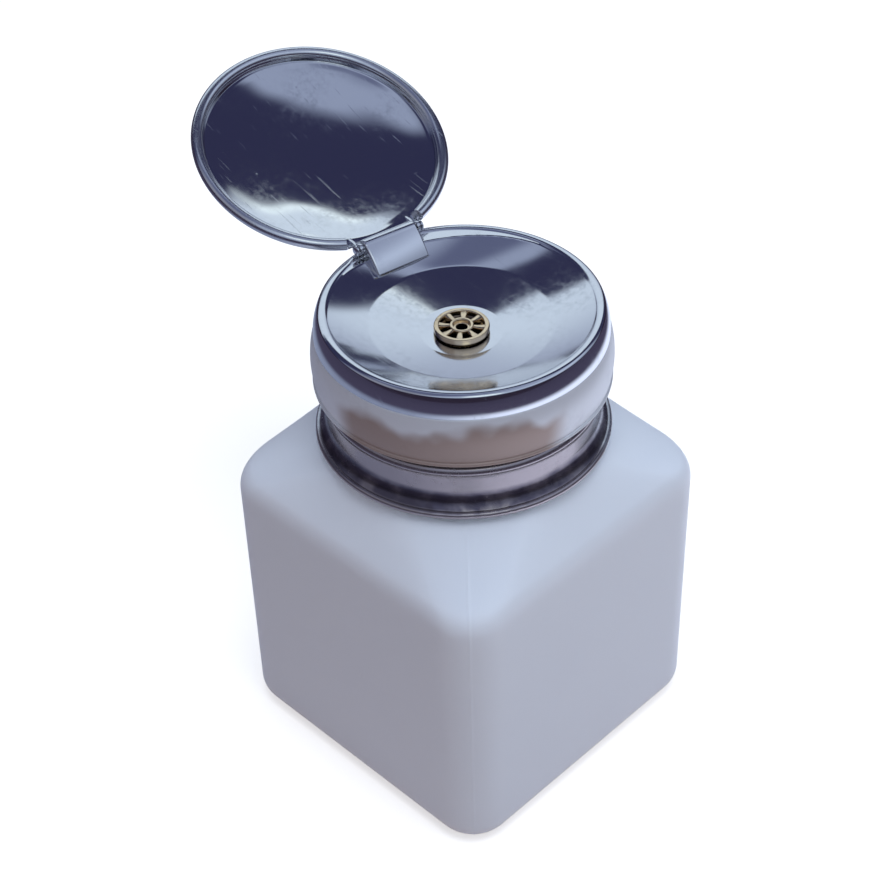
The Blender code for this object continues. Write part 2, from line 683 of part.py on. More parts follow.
def make_piston():
    radius = CYLINDER_BORE_RADIUS - 2 * CLEARANCE
    groove = radius - SEAL_GROOVE_DEPTH
    groove_low = PISTON_BOTTOM + SEAL_GROOVE_LIFT
    groove_high = groove_low + SEAL_GROOVE_HEIGHT
    socket = STEM_RADIUS + CLEARANCE
    outline = [(DISCHARGE_SEAT_RADIUS, PISTON_BOTTOM), (radius, PISTON_BOTTOM),
               (radius, groove_low), (groove, groove_low), (groove, groove_high),
               (radius, groove_high), (radius, PISTON_TOP), (socket, PISTON_TOP),
               (socket, CHAMBER_TOP), (PISTON_CHAMBER_RADIUS, CHAMBER_TOP),
               (PISTON_CHAMBER_RADIUS, DISCHARGE_SEAT), (DISCHARGE_SEAT_RADIUS, DISCHARGE_SEAT)]
    return turned("piston", outline, white_moulding("piston_plastic"), SMALL_FACETS)


def make_piston_seal():
    outer = CYLINDER_BORE_RADIUS - CLEARANCE
    inner = CYLINDER_BORE_RADIUS - CLEARANCE - SEAL_GROOVE_DEPTH
    low = PISTON_BOTTOM + SEAL_GROOVE_LIFT + CLEARANCE
    high = low + SEAL_GROOVE_HEIGHT - 2 * CLEARANCE
    middle = (low + high) / 2
    outline = [(inner, low), (outer - SEAL_LIP, low), (outer, middle - SEAL_LIP),
               (outer, middle + SEAL_LIP), (outer - SEAL_LIP, high), (inner, high)]
    return turned("piston_seal", outline, black_rubber("seal_rubber"), SMALL_FACETS)


def make_discharge_ball():
    height = resting_height(DISCHARGE_SEAT, DISCHARGE_SEAT_RADIUS, DISCHARGE_BALL_RADIUS)
    return ball("discharge_ball", DISCHARGE_BALL_RADIUS, height, spring_steel("valve_ball_steel"))


# Head

def make_head_skirt():
    belly = SKIRT_BOTTOM + SKIRT_BELLY_HEIGHT
    foot_top = SKIRT_BOTTOM + SKIRT_FOOT_ROUND
    crease = CREASE_HEIGHT - CLEARANCE / 2
    spigot = DISH_CREASE_RADIUS - DISH_SHEET - CLEARANCE
    foot = arc_through((SKIRT_LIP_RADIUS, SKIRT_BOTTOM + SKIRT_SHEET / 2),
                       (SKIRT_FOOT_RADIUS - SKIRT_FOOT_ROUND / 2, SKIRT_BOTTOM),
                       (SKIRT_FOOT_RADIUS, foot_top), 3)
    bulge = arc_through((SKIRT_FOOT_RADIUS, foot_top), (SKIRT_BELLY_RADIUS, belly),
                        (DISH_CREASE_RADIUS, crease), 5)
    path = foot + bulge[1:] + [(spigot, crease), (spigot, crease + SPIGOT_HEIGHT)]
    return turned("head_skirt", sheet_outline(path, SKIRT_SHEET), polished_steel("skirt_steel"))


def bowl_height(radius):
    """Height of the dish's bowl: a flat, then an arc that rises to the crest."""
    run = DISH_CREST_RADIUS - BOWL_FLAT_RADIUS
    sphere = (run ** 2 + BOWL_DEPTH ** 2) / (2 * BOWL_DEPTH)
    reach = max(radius - BOWL_FLAT_RADIUS, 0)
    return BOWL_FLOOR + sphere - math.sqrt(sphere ** 2 - reach ** 2)


def dish_path():
    hole = NOZZLE_BODY_RADIUS + CLEARANCE
    crease = CREASE_HEIGHT + CLEARANCE / 2
    middle = (CREST_HEIGHT + crease) / 2
    run = DISH_CREST_RADIUS - BOWL_FLAT_RADIUS
    radii = [BOWL_FLAT_RADIUS + run * step / BOWL_STEPS for step in range(BOWL_STEPS + 1)]
    bowl = [(radius, bowl_height(radius)) for radius in radii]
    width = DISH_RIM_RADIUS - DISH_CREST_RADIUS
    inward, downward = BEAD_FOOT_SHARES
    bead = arc_through((DISH_CREST_RADIUS, CREST_HEIGHT),
                       (DISH_CREST_RADIUS + width * BEAD_MIDDLE_SHARE,
                        CREST_HEIGHT + DISH_BEAD_RISE),
                       (DISH_RIM_RADIUS - width * inward, CREST_HEIGHT - width * downward), 4)
    side = arc_through(bead[-1], (DISH_RIM_RADIUS, middle), (DISH_CREASE_RADIUS, crease), 2)
    return [(hole, BOWL_FLOOR)] + bowl + bead[1:] + side[1:]


def make_dish():
    outline = sheet_outline(dish_path(), -DISH_SHEET)
    return turned("dish", outline, polished_steel("dish_steel"))


def make_nozzle_insert():
    """Brass nozzle: clamped body with an open chamber, and a spoked face over it."""
    chamber_floor = NOZZLE_BODY_BOTTOM + NOZZLE_FLOOR
    ring_inner = NOZZLE_FLANGE_RADIUS - NOZZLE_RING_WIDTH
    step = NOZZLE_TOP - NOZZLE_HUB_STEP
    outline = [(NOZZLE_HUB_BORE, NOZZLE_BODY_BOTTOM - NOZZLE_SPIGOT_LENGTH),
               (SPIGOT_RADIUS, NOZZLE_BODY_BOTTOM - NOZZLE_SPIGOT_LENGTH),
               (SPIGOT_RADIUS, NOZZLE_BODY_BOTTOM), (NOZZLE_BODY_RADIUS, NOZZLE_BODY_BOTTOM),
               (NOZZLE_BODY_RADIUS, NOZZLE_FLANGE_BOTTOM),
               (NOZZLE_FLANGE_RADIUS, NOZZLE_FLANGE_BOTTOM), (NOZZLE_FLANGE_RADIUS, NOZZLE_TOP),
               (ring_inner, NOZZLE_TOP), (ring_inner, NOZZLE_FLANGE_BOTTOM),
               (NOZZLE_CHAMBER_RADIUS, NOZZLE_FLANGE_BOTTOM),
               (NOZZLE_CHAMBER_RADIUS, chamber_floor), (NOZZLE_HUB_RADIUS, chamber_floor),
               (NOZZLE_HUB_RADIUS, NOZZLE_TOP), (NOZZLE_HUB_COUNTERBORE, NOZZLE_TOP),
               (NOZZLE_HUB_COUNTERBORE, step), (NOZZLE_HUB_BORE, step)]
    brass = dull_brass("nozzle_brass")
    nozzle = turned("nozzle_insert", outline, brass, NOZZLE_FACETS_PER_SPOKE * NOZZLE_SPOKES)
    inner = (NOZZLE_HUB_RADIUS + NOZZLE_HUB_COUNTERBORE) / 2
    outer = (NOZZLE_FLANGE_RADIUS + ring_inner) / 2
    root, tip = SPOKE_ROOT_WIDTH / 2, SPOKE_TIP_WIDTH / 2
    spoke = [(inner, -root), (outer, -tip), (outer, tip), (inner, root)]
    high = NOZZLE_TOP - CLEARANCE / 2
    mesh = bmesh.new()
    for index in range(NOZZLE_SPOKES):
        turn = Matrix.Rotation(math.tau * index / NOZZLE_SPOKES, 3, 'Z')
        add_prism(mesh, spoke, lambda x, y, z, turn=turn: turn @ Vector((x, y, z)),
                  high - SPOKE_THICKNESS, high)
    spokes = finish_mesh("nozzle_spokes", mesh, brass)
    combine(nozzle, spokes, 'UNION')
    nozzle.data.transform(Matrix.Rotation(SPOKE_PHASE, 4, 'Z'))
    return nozzle


def make_nozzle_washer():
    inner = NOZZLE_BODY_RADIUS + CLEARANCE
    outline = [(inner, WASHER_TOP - WASHER_THICKNESS),
               (inner + WASHER_WIDTH, WASHER_TOP - WASHER_THICKNESS),
               (inner + WASHER_WIDTH, WASHER_TOP), (inner, WASHER_TOP)]
    return turned("nozzle_washer", outline, black_rubber("washer_rubber"), SMALL_FACETS)


def make_nozzle_nut():
    corner = NUT_ACROSS_FLATS / 2 / math.cos(math.pi / NUT_SIDES)
    bottom = NUT_TOP - NUT_THICKNESS
    outline = [(corner * math.cos(math.tau * side / NUT_SIDES),
                corner * math.sin(math.tau * side / NUT_SIDES)) for side in range(NUT_SIDES)]
    brass = dull_brass("nut_brass")
    nut = prism("nozzle_nut", outline, lambda x, y, z: (x, y, z), bottom, NUT_TOP, brass)
    hole = NOZZLE_BODY_RADIUS + CLEARANCE
    bore = turned("nut_bore", [(0, bottom - CUT_OVERRUN), (hole, bottom - CUT_OVERRUN),
                               (hole, NUT_TOP + CUT_OVERRUN), (0, NUT_TOP + CUT_OVERRUN)],
                  brass, SMALL_FACETS)
    combine(nut, bore, 'DIFFERENCE')
    return nut


# Hinge
# In the hinge's own frame x points outwards, y runs along the pin and z is up.

def at_hinge(piece, tilt=0.0):
    piece.rotation_mode = 'XYZ'
    turn = Matrix.Rotation(HINGE_ANGLE, 4, 'Z') @ Matrix.Rotation(tilt, 4, 'Y')
    place = Vector((HINGE_REACH * math.cos(HINGE_ANGLE), HINGE_REACH * math.sin(HINGE_ANGLE),
                    HINGE_HEIGHT))
    piece.matrix_world = Matrix.Translation(place) @ turn
    return piece


def along_pin(x, z, y):
    """Place a point of a side-view outline, extruded along the pin."""
    return (x, y, z)


def bracket_seat(reach, half):
    """Lowest height, over the pin, of a foot that rests on the bowl out to a half width."""
    return bowl_height(math.hypot(reach, half)) + CLEARANCE - HINGE_HEIGHT


def bracket_path():
    """Upper face of the plate in side view: from its foot in a slope to the curl on the pin."""
    foot = (-BRACKET_RUN, bracket_seat(BRACKET_FOOT_REACH, BRACKET_HALF) + BRACKET_SHEET)
    toward_foot = math.atan2(foot[1], foot[0]) % math.tau
    touch = toward_foot - math.acos(BRACKET_CURL_RADIUS / math.hypot(*foot))
    return [foot] + arc_about((0, 0), BRACKET_CURL_RADIUS, math.degrees(touch),
                              BRACKET_CURL_END, 7)


def pin_hole(half, material):
    """Drill for an eye on the pin, from one side of the hinge to the other."""
    circle = arc_about((0, 0), EYE_HOLE_RADIUS, 0, 360 - 360 / FINE_FACETS, FINE_FACETS - 1)
    return prism("pin_hole", circle, along_pin, -half, half, material)


def make_hinge_bracket():
    """Folded channel: plate curled over the pin, side walls with eyes, feet on the bowl."""
    steel = polished_steel("bracket_steel")
    path = bracket_path()
    inner = BRACKET_HALF - BRACKET_SHEET
    bracket = prism("hinge_bracket", sheet_outline(path, -BRACKET_SHEET), along_pin,
                    -BRACKET_HALF, BRACKET_HALF, steel)
    runs = [BRACKET_RUN * share - BRACKET_RUN for share in BRACKET_SEAT_SHARES]
    seat = [(x, bracket_seat(HINGE_REACH + x, BRACKET_HALF)) for x in runs]
    middle = offset_path(path, -BRACKET_SHEET / 2)
    eye = arc_about((0, 0), EYE_RADIUS, -100, BRACKET_CURL_END, 6)
    wall = seat + eye + middle[::-1]
    foot_half = BRACKET_HALF + BRACKET_FOOT_WIDTH
    sole = [(x, bracket_seat(HINGE_REACH + x, foot_half)) for x in runs]
    foot = sole + [(x, z + BRACKET_SHEET) for x, z in sole[::-1]]
    mesh = bmesh.new()
    for side in (-1, 1):
        add_prism(mesh, wall, along_pin, *sorted((side * inner, side * BRACKET_HALF)))
    walls = at_hinge(finish_mesh("bracket_walls", mesh, steel))
    mesh = bmesh.new()
    for side in (-1, 1):
        add_prism(mesh, foot, along_pin, *sorted((side * (inner + CLEARANCE / 2),
                                                  side * foot_half)))
    feet = at_hinge(finish_mesh("bracket_feet", mesh, steel))
    drill = at_hinge(pin_hole(BRACKET_HALF + CUT_OVERRUN, steel))
    at_hinge(bracket)
    combine(bracket, walls, 'UNION')
    combine(bracket, feet, 'UNION')
    combine(bracket, drill, 'DIFFERENCE')
    return bracket


def make_hinge_pin():
    outline = [(0, -PIN_TIP), (PIN_HEAD_RADIUS, -PIN_TIP), (PIN_HEAD_RADIUS, -PIN_HEAD_INNER),
               (PIN_RADIUS, -PIN_HEAD_INNER), (PIN_RADIUS, PIN_HEAD_INNER),
               (PIN_HEAD_RADIUS, PIN_HEAD_INNER), (PIN_HEAD_RADIUS, PIN_TIP), (0, PIN_TIP)]
    mesh = turned_mesh(outline, FINE_FACETS)
    bmesh.ops.rotate(mesh, verts=mesh.verts, cent=(0, 0, 0),
                     matrix=Matrix.Rotation(-math.pi / 2, 3, 'X'))
    return at_hinge(finish_mesh("hinge_pin", mesh, polished_steel("pin_steel")))


# Lid
# Modelled closed in the hinge's frame, then turned open about the pin.

def lid_outline():
    """Half section of the lid: domed panel, cove and rolled rim bead, about its centre."""
    bead = (LID_RADIUS - LID_BEAD_RADIUS, LID_BEAD_LIFT)
    panel_edge = bead[0] - LID_BEAD_RADIUS - LID_COVE_WIDTH
    under = LID_BEAD_LIFT + LID_RECESS
    dome = arc_through((-panel_edge, under), (0, under + LID_DOME_RISE), (panel_edge, under), 10)
    inside = [(max(x, 0), z) for x, z in dome[5:]]
    curl = arc_about(bead, LID_BEAD_RADIUS, 180, 450, 7)
    top = [(x, z + LID_SHEET) for x, z in inside[::-1]]
    return inside + curl + top


def make_lid():
    """Lid with a flat tab at its notch and two ears that reach down to the pin."""
    steel = polished_steel("lid_steel")
    mesh = turned_mesh(lid_outline(), LARGE_FACETS)
    bmesh.ops.translate(mesh, verts=mesh.verts, vec=(-LID_CENTRE_REACH, 0, 0))
    lid = finish_mesh("lid", mesh, steel)
    edge = -LID_NOTCH_DEPTH
    tall = LID_BEAD_LIFT + LID_RECESS + LID_DOME_RISE + LID_SHEET + CUT_OVERRUN
    box = [(edge, -tall), (tall, -tall), (tall, tall), (edge, tall)]
    notch = prism("lid_notch", box, along_pin, -LID_NOTCH_HALF, LID_NOTCH_HALF, steel)
    panel = LID_BEAD_LIFT + LID_RECESS
    root = edge - LID_SHEET
    tab_half = LID_NOTCH_HALF + CLEARANCE
    tab = prism("lid_tab", [(root, panel), (-LID_TAB_INSET, panel),
                            (-LID_TAB_INSET, panel + LID_SHEET), (root, panel + LID_SHEET)],
                along_pin, -tab_half, tab_half, steel)
    across, up = LID_EAR_WEB_SHARES
    ear = arc_about((0, 0), EYE_RADIUS, -180, 90, 10)
    ear += [(-LID_TAB_INSET, panel + LID_SHEET / 2), (edge, panel + LID_SHEET / 2),
            (edge, panel), (-EYE_RADIUS * across, EYE_RADIUS * up)]
    mesh = bmesh.new()
    for side in (-1, 1):
        add_prism(mesh, ear, along_pin, *sorted((side * LID_EAR_INNER, side * LID_EAR_OUTER)))
    ears = finish_mesh("lid_ears", mesh, steel)
    drill = pin_hole(LID_EAR_OUTER + CUT_OVERRUN, steel)
    for piece in (lid, notch, tab, ears, drill):
        at_hinge(piece, LID_OPEN_ANGLE)
    combine(lid, notch, 'DIFFERENCE')
    combine(lid, tab, 'UNION')
    combine(lid, ears, 'UNION')
    combine(lid, drill, 'DIFFERENCE')
    return lid


def main():
    clear_scene()
    make_bottle()
    make_collar()
    make_thread_liner()
    make_neck_gasket()
    make_pump_cylinder()
    make_stem_guide()
    make_ball_retainer()
    make_foot_ball()
    make_dip_tube()
    make_return_spring()
    make_stem()
    make_piston()
    make_piston_seal()
    make_discharge_ball()
    make_head_skirt()
    make_dish()
    make_nozzle_insert()
    make_nozzle_washer()
    make_nozzle_nut()
    make_hinge_bracket()
    make_hinge_pin()
    make_lid()


main()
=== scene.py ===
"""Finishes and fine surfaces of a square pump dispenser bottle.

A script for Blender 4.5, laid out as an add-on. It loads the measured model, replaces
the pieces that show by finely made ones at the same sizes, gives every piece its finish
and sets up the camera, the floor and the light. Metres, +Z up.
"""
import json
import math

import bmesh
import bpy
from bpy.props import FloatProperty, FloatVectorProperty, IntProperty, PointerProperty
from mathutils import Matrix, Vector


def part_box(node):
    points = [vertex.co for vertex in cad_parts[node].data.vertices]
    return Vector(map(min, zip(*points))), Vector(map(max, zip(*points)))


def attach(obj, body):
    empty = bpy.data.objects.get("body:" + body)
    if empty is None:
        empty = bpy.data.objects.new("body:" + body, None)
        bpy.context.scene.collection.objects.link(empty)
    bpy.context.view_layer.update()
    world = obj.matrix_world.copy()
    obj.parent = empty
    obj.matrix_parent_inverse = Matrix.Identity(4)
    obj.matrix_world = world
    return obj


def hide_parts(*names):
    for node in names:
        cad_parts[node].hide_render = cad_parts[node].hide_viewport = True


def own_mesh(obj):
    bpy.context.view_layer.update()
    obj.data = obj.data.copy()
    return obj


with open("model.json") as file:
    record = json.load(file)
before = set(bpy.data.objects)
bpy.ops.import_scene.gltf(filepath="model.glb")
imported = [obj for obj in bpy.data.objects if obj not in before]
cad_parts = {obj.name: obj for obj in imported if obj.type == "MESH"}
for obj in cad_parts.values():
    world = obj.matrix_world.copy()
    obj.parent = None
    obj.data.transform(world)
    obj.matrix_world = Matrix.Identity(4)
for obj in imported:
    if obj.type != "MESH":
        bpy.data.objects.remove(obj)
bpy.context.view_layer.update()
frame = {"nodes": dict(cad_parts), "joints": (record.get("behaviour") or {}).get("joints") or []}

bl_info = {
    "name": "Pump Dispenser Bottle",
    "version": (1, 0, 0),
    "blender": (4, 5, 0),
    "location": "View3D > Sidebar > Bottle",
    "description": "Builds the fine pieces, finishes and stage of a pump dispenser bottle",
    "category": "Object",
}

# Facets and fits
TURNED_FACETS = 240
SMALL_FACETS = 96
ARC_STEPS = 16
WELD_DISTANCE = 0.0000005
SMOOTH_ANGLE = math.radians(32)
CLEARANCE = 0.0003
MILLIMETRE = 0.001
EDGE_BREAK = 0.00006

# Shares of a quarter turn: what a corner takes up, and the fine steps at a parting line
CORNER_SPREAD = 0.6
SEAM_SHARES = (-0.045, -0.03, -0.018, -0.009, 0.0, 0.009, 0.018, 0.03, 0.045)

# Turns about the axis in degrees: the shelf beside the hinge, and the dented foot
SHELF_RISE_TURNS = (84, 152)
SHELF_FALL_TURNS = (170, 205)
DENTED_TURN = 322
DENTED_SPREAD = 24

# Headings in degrees from +X; the camera stands at about 316
AHEAD = 129.5
ACROSS = 39.5
NEAR_SIDE = 300
LEFT_SIDE = 242
TARNISH_AND_REFLECTION_SIDE = 308
# The side on which the warm patches lie, partly tarnish and partly painted reflection
FLOOR_SIDE = 40

# Heading and height of the soft spot in the metal, in degrees
SPOT_HEADING = (332, 50)


# Places read from the frame

def lowest(node):
    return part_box(node)[0]


def highest(node):
    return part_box(node)[1]


HINGE = next(joint for joint in frame["joints"] if joint["name"] == "lid_hinge")
HINGE_RISE = 0.0015
CREST_HEIGHT = HINGE["pos_m"][2] - HINGE_RISE
BOTTLE_HALF = highest("bottle").x
SHELF_HEIGHT = lowest("ball_retainer").z - CLEARANCE
NOZZLE_HOLE = 0.0041


# Settings that a user would change

def length(name, description, default):
    return FloatProperty(name=name, description=description, default=default, precision=5,
                         unit='LENGTH')


def angle(name, description, degrees):
    return FloatProperty(name=name, description=description, default=math.radians(degrees),
                         unit='ROTATION')


def colour(name, description, default):
    return FloatVectorProperty(name=name, description=description, default=default,
                               subtype='COLOR', min=0, max=1)


class BottleSizes(bpy.types.PropertyGroup):
    corner_radius: length("Corner radius", "Radius of the upright corners", 0.0072)
    base_edge: length("Base edge", "Rounding between the walls and the base", 0.0042)
    base_recess: length("Base recess", "Depth of the pushed-up middle of the base", 0.0007)
    base_land: length("Base land", "Width of the flat ring that the bottle stands on", 0.0040)
    shoulder_corner: length("Shoulder corner height", "Where the corner's slope starts", 0.0516)
    shoulder_edge: length("Shoulder edge", "Rounding between the walls and the shoulder", 0.0050)
    shoulder_top: length("Shoulder top height", "Height at which the neck rises", 0.0610)
    shoulder_ledge: length("Shoulder ledge", "Width of the round ledge about the neck", 0.0055)
    neck_radius: length("Neck radius", "Radius of the neck under its thread", 0.0160)
    neck_bore: length("Neck bore", "Radius of the neck's opening", 0.0143)
    wall: length("Wall", "Thickness of the walls", 0.0013)
    seam_rise: length("Seam rise", "Height of the mould's parting line", 0.00006)
    seam_width: length("Seam width", "Width of the mould's parting line", 0.00034)
    thread_rise: length("Thread rise", "Height of the neck's thread ridge", 0.00035)
    thread_pitch: length("Thread pitch", "Rise of the thread in one turn", 0.0026)


class CollarSizes(bpy.types.PropertyGroup):
    sheet: length("Sheet", "Thickness of the collar's metal", 0.0004)
    height: length("Height", "Height from the foot to the top face", 0.0089)
    rim_flare: length("Rim flare", "How far the foot stands out from the wall", 0.0020)
    rim_bead: length("Rim bead", "Radius of the bead at the foot", 0.00065)
    flare_height: length("Flare height", "Height over which the foot flares", 0.0045)
    top_round: length("Top rounding", "Rounding between wall and top face", 0.0011)
    top_bead: length("Top bead", "How far the bead under the top face stands out", 0.0003)
    sleeve_step: length("Sleeve step", "Step from the wall in to the sleeve", 0.0022)
    sleeve_lip: length("Sleeve lip", "Width of the lip at the sleeve's top", 0.0010)
    dent_depth: length("Dent depth", "Depth of the hammered dents in the rim", 0.00028)


class HeadSizes(bpy.types.PropertyGroup):
    skirt_sheet: length("Skirt sheet", "Thickness of the skirt's metal", 0.00045)
    skirt_height: length("Skirt height", "Height from the skirt's foot to the crease", 0.0088)
    skirt_foot: length("Skirt foot radius", "Outer radius at the skirt's foot", 0.0235)
    skirt_lip: length("Skirt lip radius", "Inner radius of the turned-in foot", 0.0230)
    skirt_belly: length("Skirt belly", "How far the belly stands out from the foot", 0.0004)
    belly_height: length("Belly height", "Height of the widest place over the foot", 0.0040)
    foot_round: length("Foot rounding", "Rounding of the skirt's foot", 0.0007)
    brow: length("Brow", "Rounding between the skirt and the crease", 0.00028)
    crease_radius: length("Crease radius", "Radius where dish and skirt meet", 0.0232)
    dish_sheet: length("Dish sheet", "Thickness of the dish's metal", 0.0005)
    rim_height: length("Rim height", "Height of the bowl's edge over the crease", 0.0037)
    rim_width: length("Rim width", "Width from the bowl's edge to the crease", 0.0024)
    shelf: length("Shelf", "Width of the shelf under the crest beside the hinge", 0.0019)
    shelf_slope: FloatProperty(name="Shelf slope", description="Rise of the shelf over its width",
                               default=0.07, min=0)
    crest_rise: length("Crest rise", "Height of the crest's bead over the bowl's edge", 0.0003)
    bowl_flat: length("Bowl flat", "Radius of the bowl's flat middle", 0.0064)
    bowl_wall: length("Bowl wall", "Width of the bowl's steeper outer wall", 0.0063)
    cone_start: angle("Cone start", "Slope of the bowl next to its flat", 12.0)
    cone_end: angle("Cone end", "Slope of the bowl where its wall starts", 15.0)
    wall_start: angle("Wall start", "Slope of the bowl's wall at its foot", 20.0)
    wall_end: angle("Wall end", "Slope of the bowl's wall at its edge", 26.5)


class NozzleSizes(bpy.types.PropertyGroup):
    flange_radius: length("Flange radius", "Outer radius of the flange", 0.0044)
    ring_width: length("Ring width", "Width of the flange ring's top", 0.00078)
    flange_height: length("Flange height", "Thickness of the flange", 0.0009)
    hub_radius: length("Hub radius", "Outer radius of the hub", 0.0019)
    counterbore: length("Counterbore", "Radius of the hub's upper hole", 0.00135)
    hub_bore: length("Hub bore", "Radius of the hub's through hole", 0.0009)
    hub_step: length("Hub step", "Depth of the counterbore", 0.0005)
    spoke_root: length("Spoke root", "Width of a spoke at the hub", 0.0006)
    spoke_tip: length("Spoke tip", "Width of a spoke at the ring", 0.00125)
    spoke_sink: length("Spoke sink", "How far a spoke lies under the ring's top", 0.00012)
    spoke_sag: length("Spoke sag", "How far a spoke hangs through halfway", 0.00012)
    spoke_depth: length("Spoke depth", "Thickness of a spoke", 0.0007)
    flange_ledge: length("Flange ledge", "How far the flange stands out over the body", 0.0006)
    chamber_wall: length("Chamber wall", "Thickness of the wall about the chamber", 0.0006)
    chamber_floor: length("Chamber floor", "Thickness of the chamber's floor", 0.0010)
    body_length: length("Body length", "Length of the body under the flange", 0.0038)
    spigot: length("Spigot radius", "Radius of the spigot that sits on the stem", 0.0019)
    edge_round: length("Edge rounding", "Rounding of the turned edges", 0.00022)
    fine_round: length("Fine rounding", "Rounding of the narrow turned edges", 0.00012)
    phase: angle("Phase", "Turn of the first spoke", -7.25)
    spokes: IntProperty(name="Spokes", description="Number of spokes", default=8, min=3, max=24)


class HingeSizes(bpy.types.PropertyGroup):
    pin_radius: length("Pin radius", "Radius of the hinge pin", 0.0004)
    pin_head: length("Pin head", "Radius of the pin's heads", 0.0009)
    pin_head_length: length("Pin head length", "Length of the pin's heads", 0.0005)
    eye_hole: length("Eye hole", "Radius of the holes for the pin", 0.00065)
    eye_radius: length("Eye radius", "Outer radius of the eyes", 0.00095)
    width: length("Bracket width", "Width of the bracket's plate", 0.0098)
    sheet: length("Bracket sheet", "Thickness of the bracket's metal", 0.0005)
    run: length("Bracket run", "How far the plate reaches towards the bowl's middle", 0.0045)
    bow: length("Bow", "How far the plate bows out", 0.00022)
    curl_radius: length("Curl radius", "Outer radius of the plate's curl", 0.00125)
    curl_end: angle("Curl end", "Where the plate's curl ends behind the pin", 20.0)
    bend: length("Bend radius", "Radius of the plate's folded edges", 0.00040)
    foot_width: length("Foot width", "How far the feet stand out at the sides", 0.0008)
    foot_sheet: length("Foot sheet", "Thickness of the feet", 0.00035)
    foot_gap: length("Foot gap", "Gap between the feet and the bowl", 0.00006)
    foot_taper_start: length("Taper start", "Where the feet start to narrow", -0.0022)
    foot_taper_end: length("Taper end", "Where the feet have run out", -0.0010)
    tuck: length("Tuck", "How far the folded edges reach down past the plate", 0.0003)


class LidSizes(bpy.types.PropertyGroup):
    radius: length("Radius", "Outer radius of the lid", 0.0213)
    centre_reach: length("Centre reach", "From the pin to the lid's centre", 0.0210)
    open_angle: angle("Open angle", "How far the lid stands open", 159.0)
    sheet: length("Sheet", "Thickness of the lid's metal", 0.0005)
    bead: length("Rim bead", "Radius of the rolled rim", 0.0010)
    bead_lift: length("Bead lift", "Height of the bead's centre over the pin", 0.0001)
    dome_rise: length("Dome rise", "Height of the domed panel", 0.0018)
    recess: length("Recess", "Depth of the panel behind the bead", 0.0007)
    cove: length("Cove width", "Width of the hollow between bead and panel", 0.0003)
    notch_depth: length("Notch depth", "Depth of the rim's gap at the hinge", 0.0030)
    notch_half: length("Notch half width", "Half the width of the rim's gap", 0.0068)
    tab_inset: length("Tab inset", "From the pin to the edge of the flat tab", 0.0014)
    wave: length("Panel waves", "Height of the panel's unevenness near its edge", 0.00003)


class PumpSizes(bpy.types.PropertyGroup):
    liner_bore: length("Liner bore", "Inner radius of the thread liner", 0.0168)
    liner_wall: length("Liner wall", "Thickness of the liner's two walls", 0.0013)
    liner_web: length("Liner web", "Thickness of the liner's top", 0.0012)
    liner_lip: length("Liner lip", "Thickness of the lip about the liner's mouth", 0.0008)
    liner_mouth: length("Liner mouth", "Radius of the opening in the liner's top", 0.0120)
    moulded_round: length("Moulded rounding", "Rounding of the liner's edges", 0.0003)
    thread_lift: length("Thread lift", "Height of the liner's thread over its foot", 0.0009)
    bore: length("Cylinder bore", "Radius in which the piston runs", 0.0065)
    wall: length("Cylinder wall", "Thickness of the cylinder's wall", 0.0015)
    flange: length("Flange", "Thickness of the cylinder's flange", 0.0008)
    pocket: length("Valve pocket", "Radius of the lower ball's pocket", 0.0023)
    pocket_depth: length("Pocket depth", "Depth of the lower ball's pocket", 0.0043)
    seat: length("Valve seat", "Radius of the hole under the lower ball", 0.0012)
    seat_web: length("Seat web", "Thickness of the wall that holds the seat", 0.0010)
    socket: length("Tube socket", "Inner radius of the dip tube's socket", 0.0028)
    socket_wall: length("Socket wall", "Thickness of the socket's wall", 0.0010)
    neck_round: length("Neck rounding", "Rounding where the cylinder narrows", 0.0008)
    flange_round: length("Flange rounding", "Rounding under the flange", 0.0006)
    fine_round: length("Fine rounding", "Rounding of the cylinder's edges", 0.00025)
    wire: length("Wire", "Radius of the spring's wire", 0.00045)
    spring_radius: length("Spring radius", "Radius of the spring's curls", 0.0048)
    curls: FloatProperty(name="Curls", description="Number of the spring's curls", default=6.0,
                         min=1)
    tube_wall: length("Tube wall", "Thickness of the dip tube", 0.0008)
    tube_slant: FloatProperty(name="Tube slant", default=0.7,
                              description="Rise of the tube's cut over its width")
    tube_round: length("Tube rounding", "Rounding of the tube's upper edges", 0.0002)


class Finishes(bpy.types.PropertyGroup):
    milky: colour("Milky plastic", "Colour of the bottle", (0.80, 0.85, 1.0))
    steel: colour("Steel", "Colour of the polished metal", (0.70, 0.71, 0.74))
    smudge: colour("Smudge", "Colour of the handled patches", (0.60, 0.61, 0.64))
    # The warm patches on skirt and collar are partly tarnish, partly painted reflection of the
    # surroundings
    tarnish: colour("Tarnish", "Colour of the warm stains on the skirt", (0.30, 0.195, 0.15))
    collar_tarnish_and_reflection: colour("Collar tarnish", "Colour of the darker stains on the collar",
                           (0.36, 0.30, 0.31))
    brass: colour("Brass", "Colour of the nozzle", (0.78, 0.62, 0.42))
    # Dirt in the nozzle's hollows together with painted shade there; also the brass's smudge
    # colour
    brass_dirt_and_shade: colour("Brass dirt", "Colour in the nozzle's hollows", (0.10, 0.065, 0.035))
    white: colour("White moulding", "Colour of the inner mouldings", (0.82, 0.82, 0.80))
    tube: colour("Dip tube", "Colour of the dip tube", (0.78, 0.80, 0.83))
    spring: colour("Spring steel", "Colour of spring and balls", (0.52, 0.52, 0.54))
    rubber: colour("Rubber", "Colour of the seals", (0.045, 0.045, 0.05))


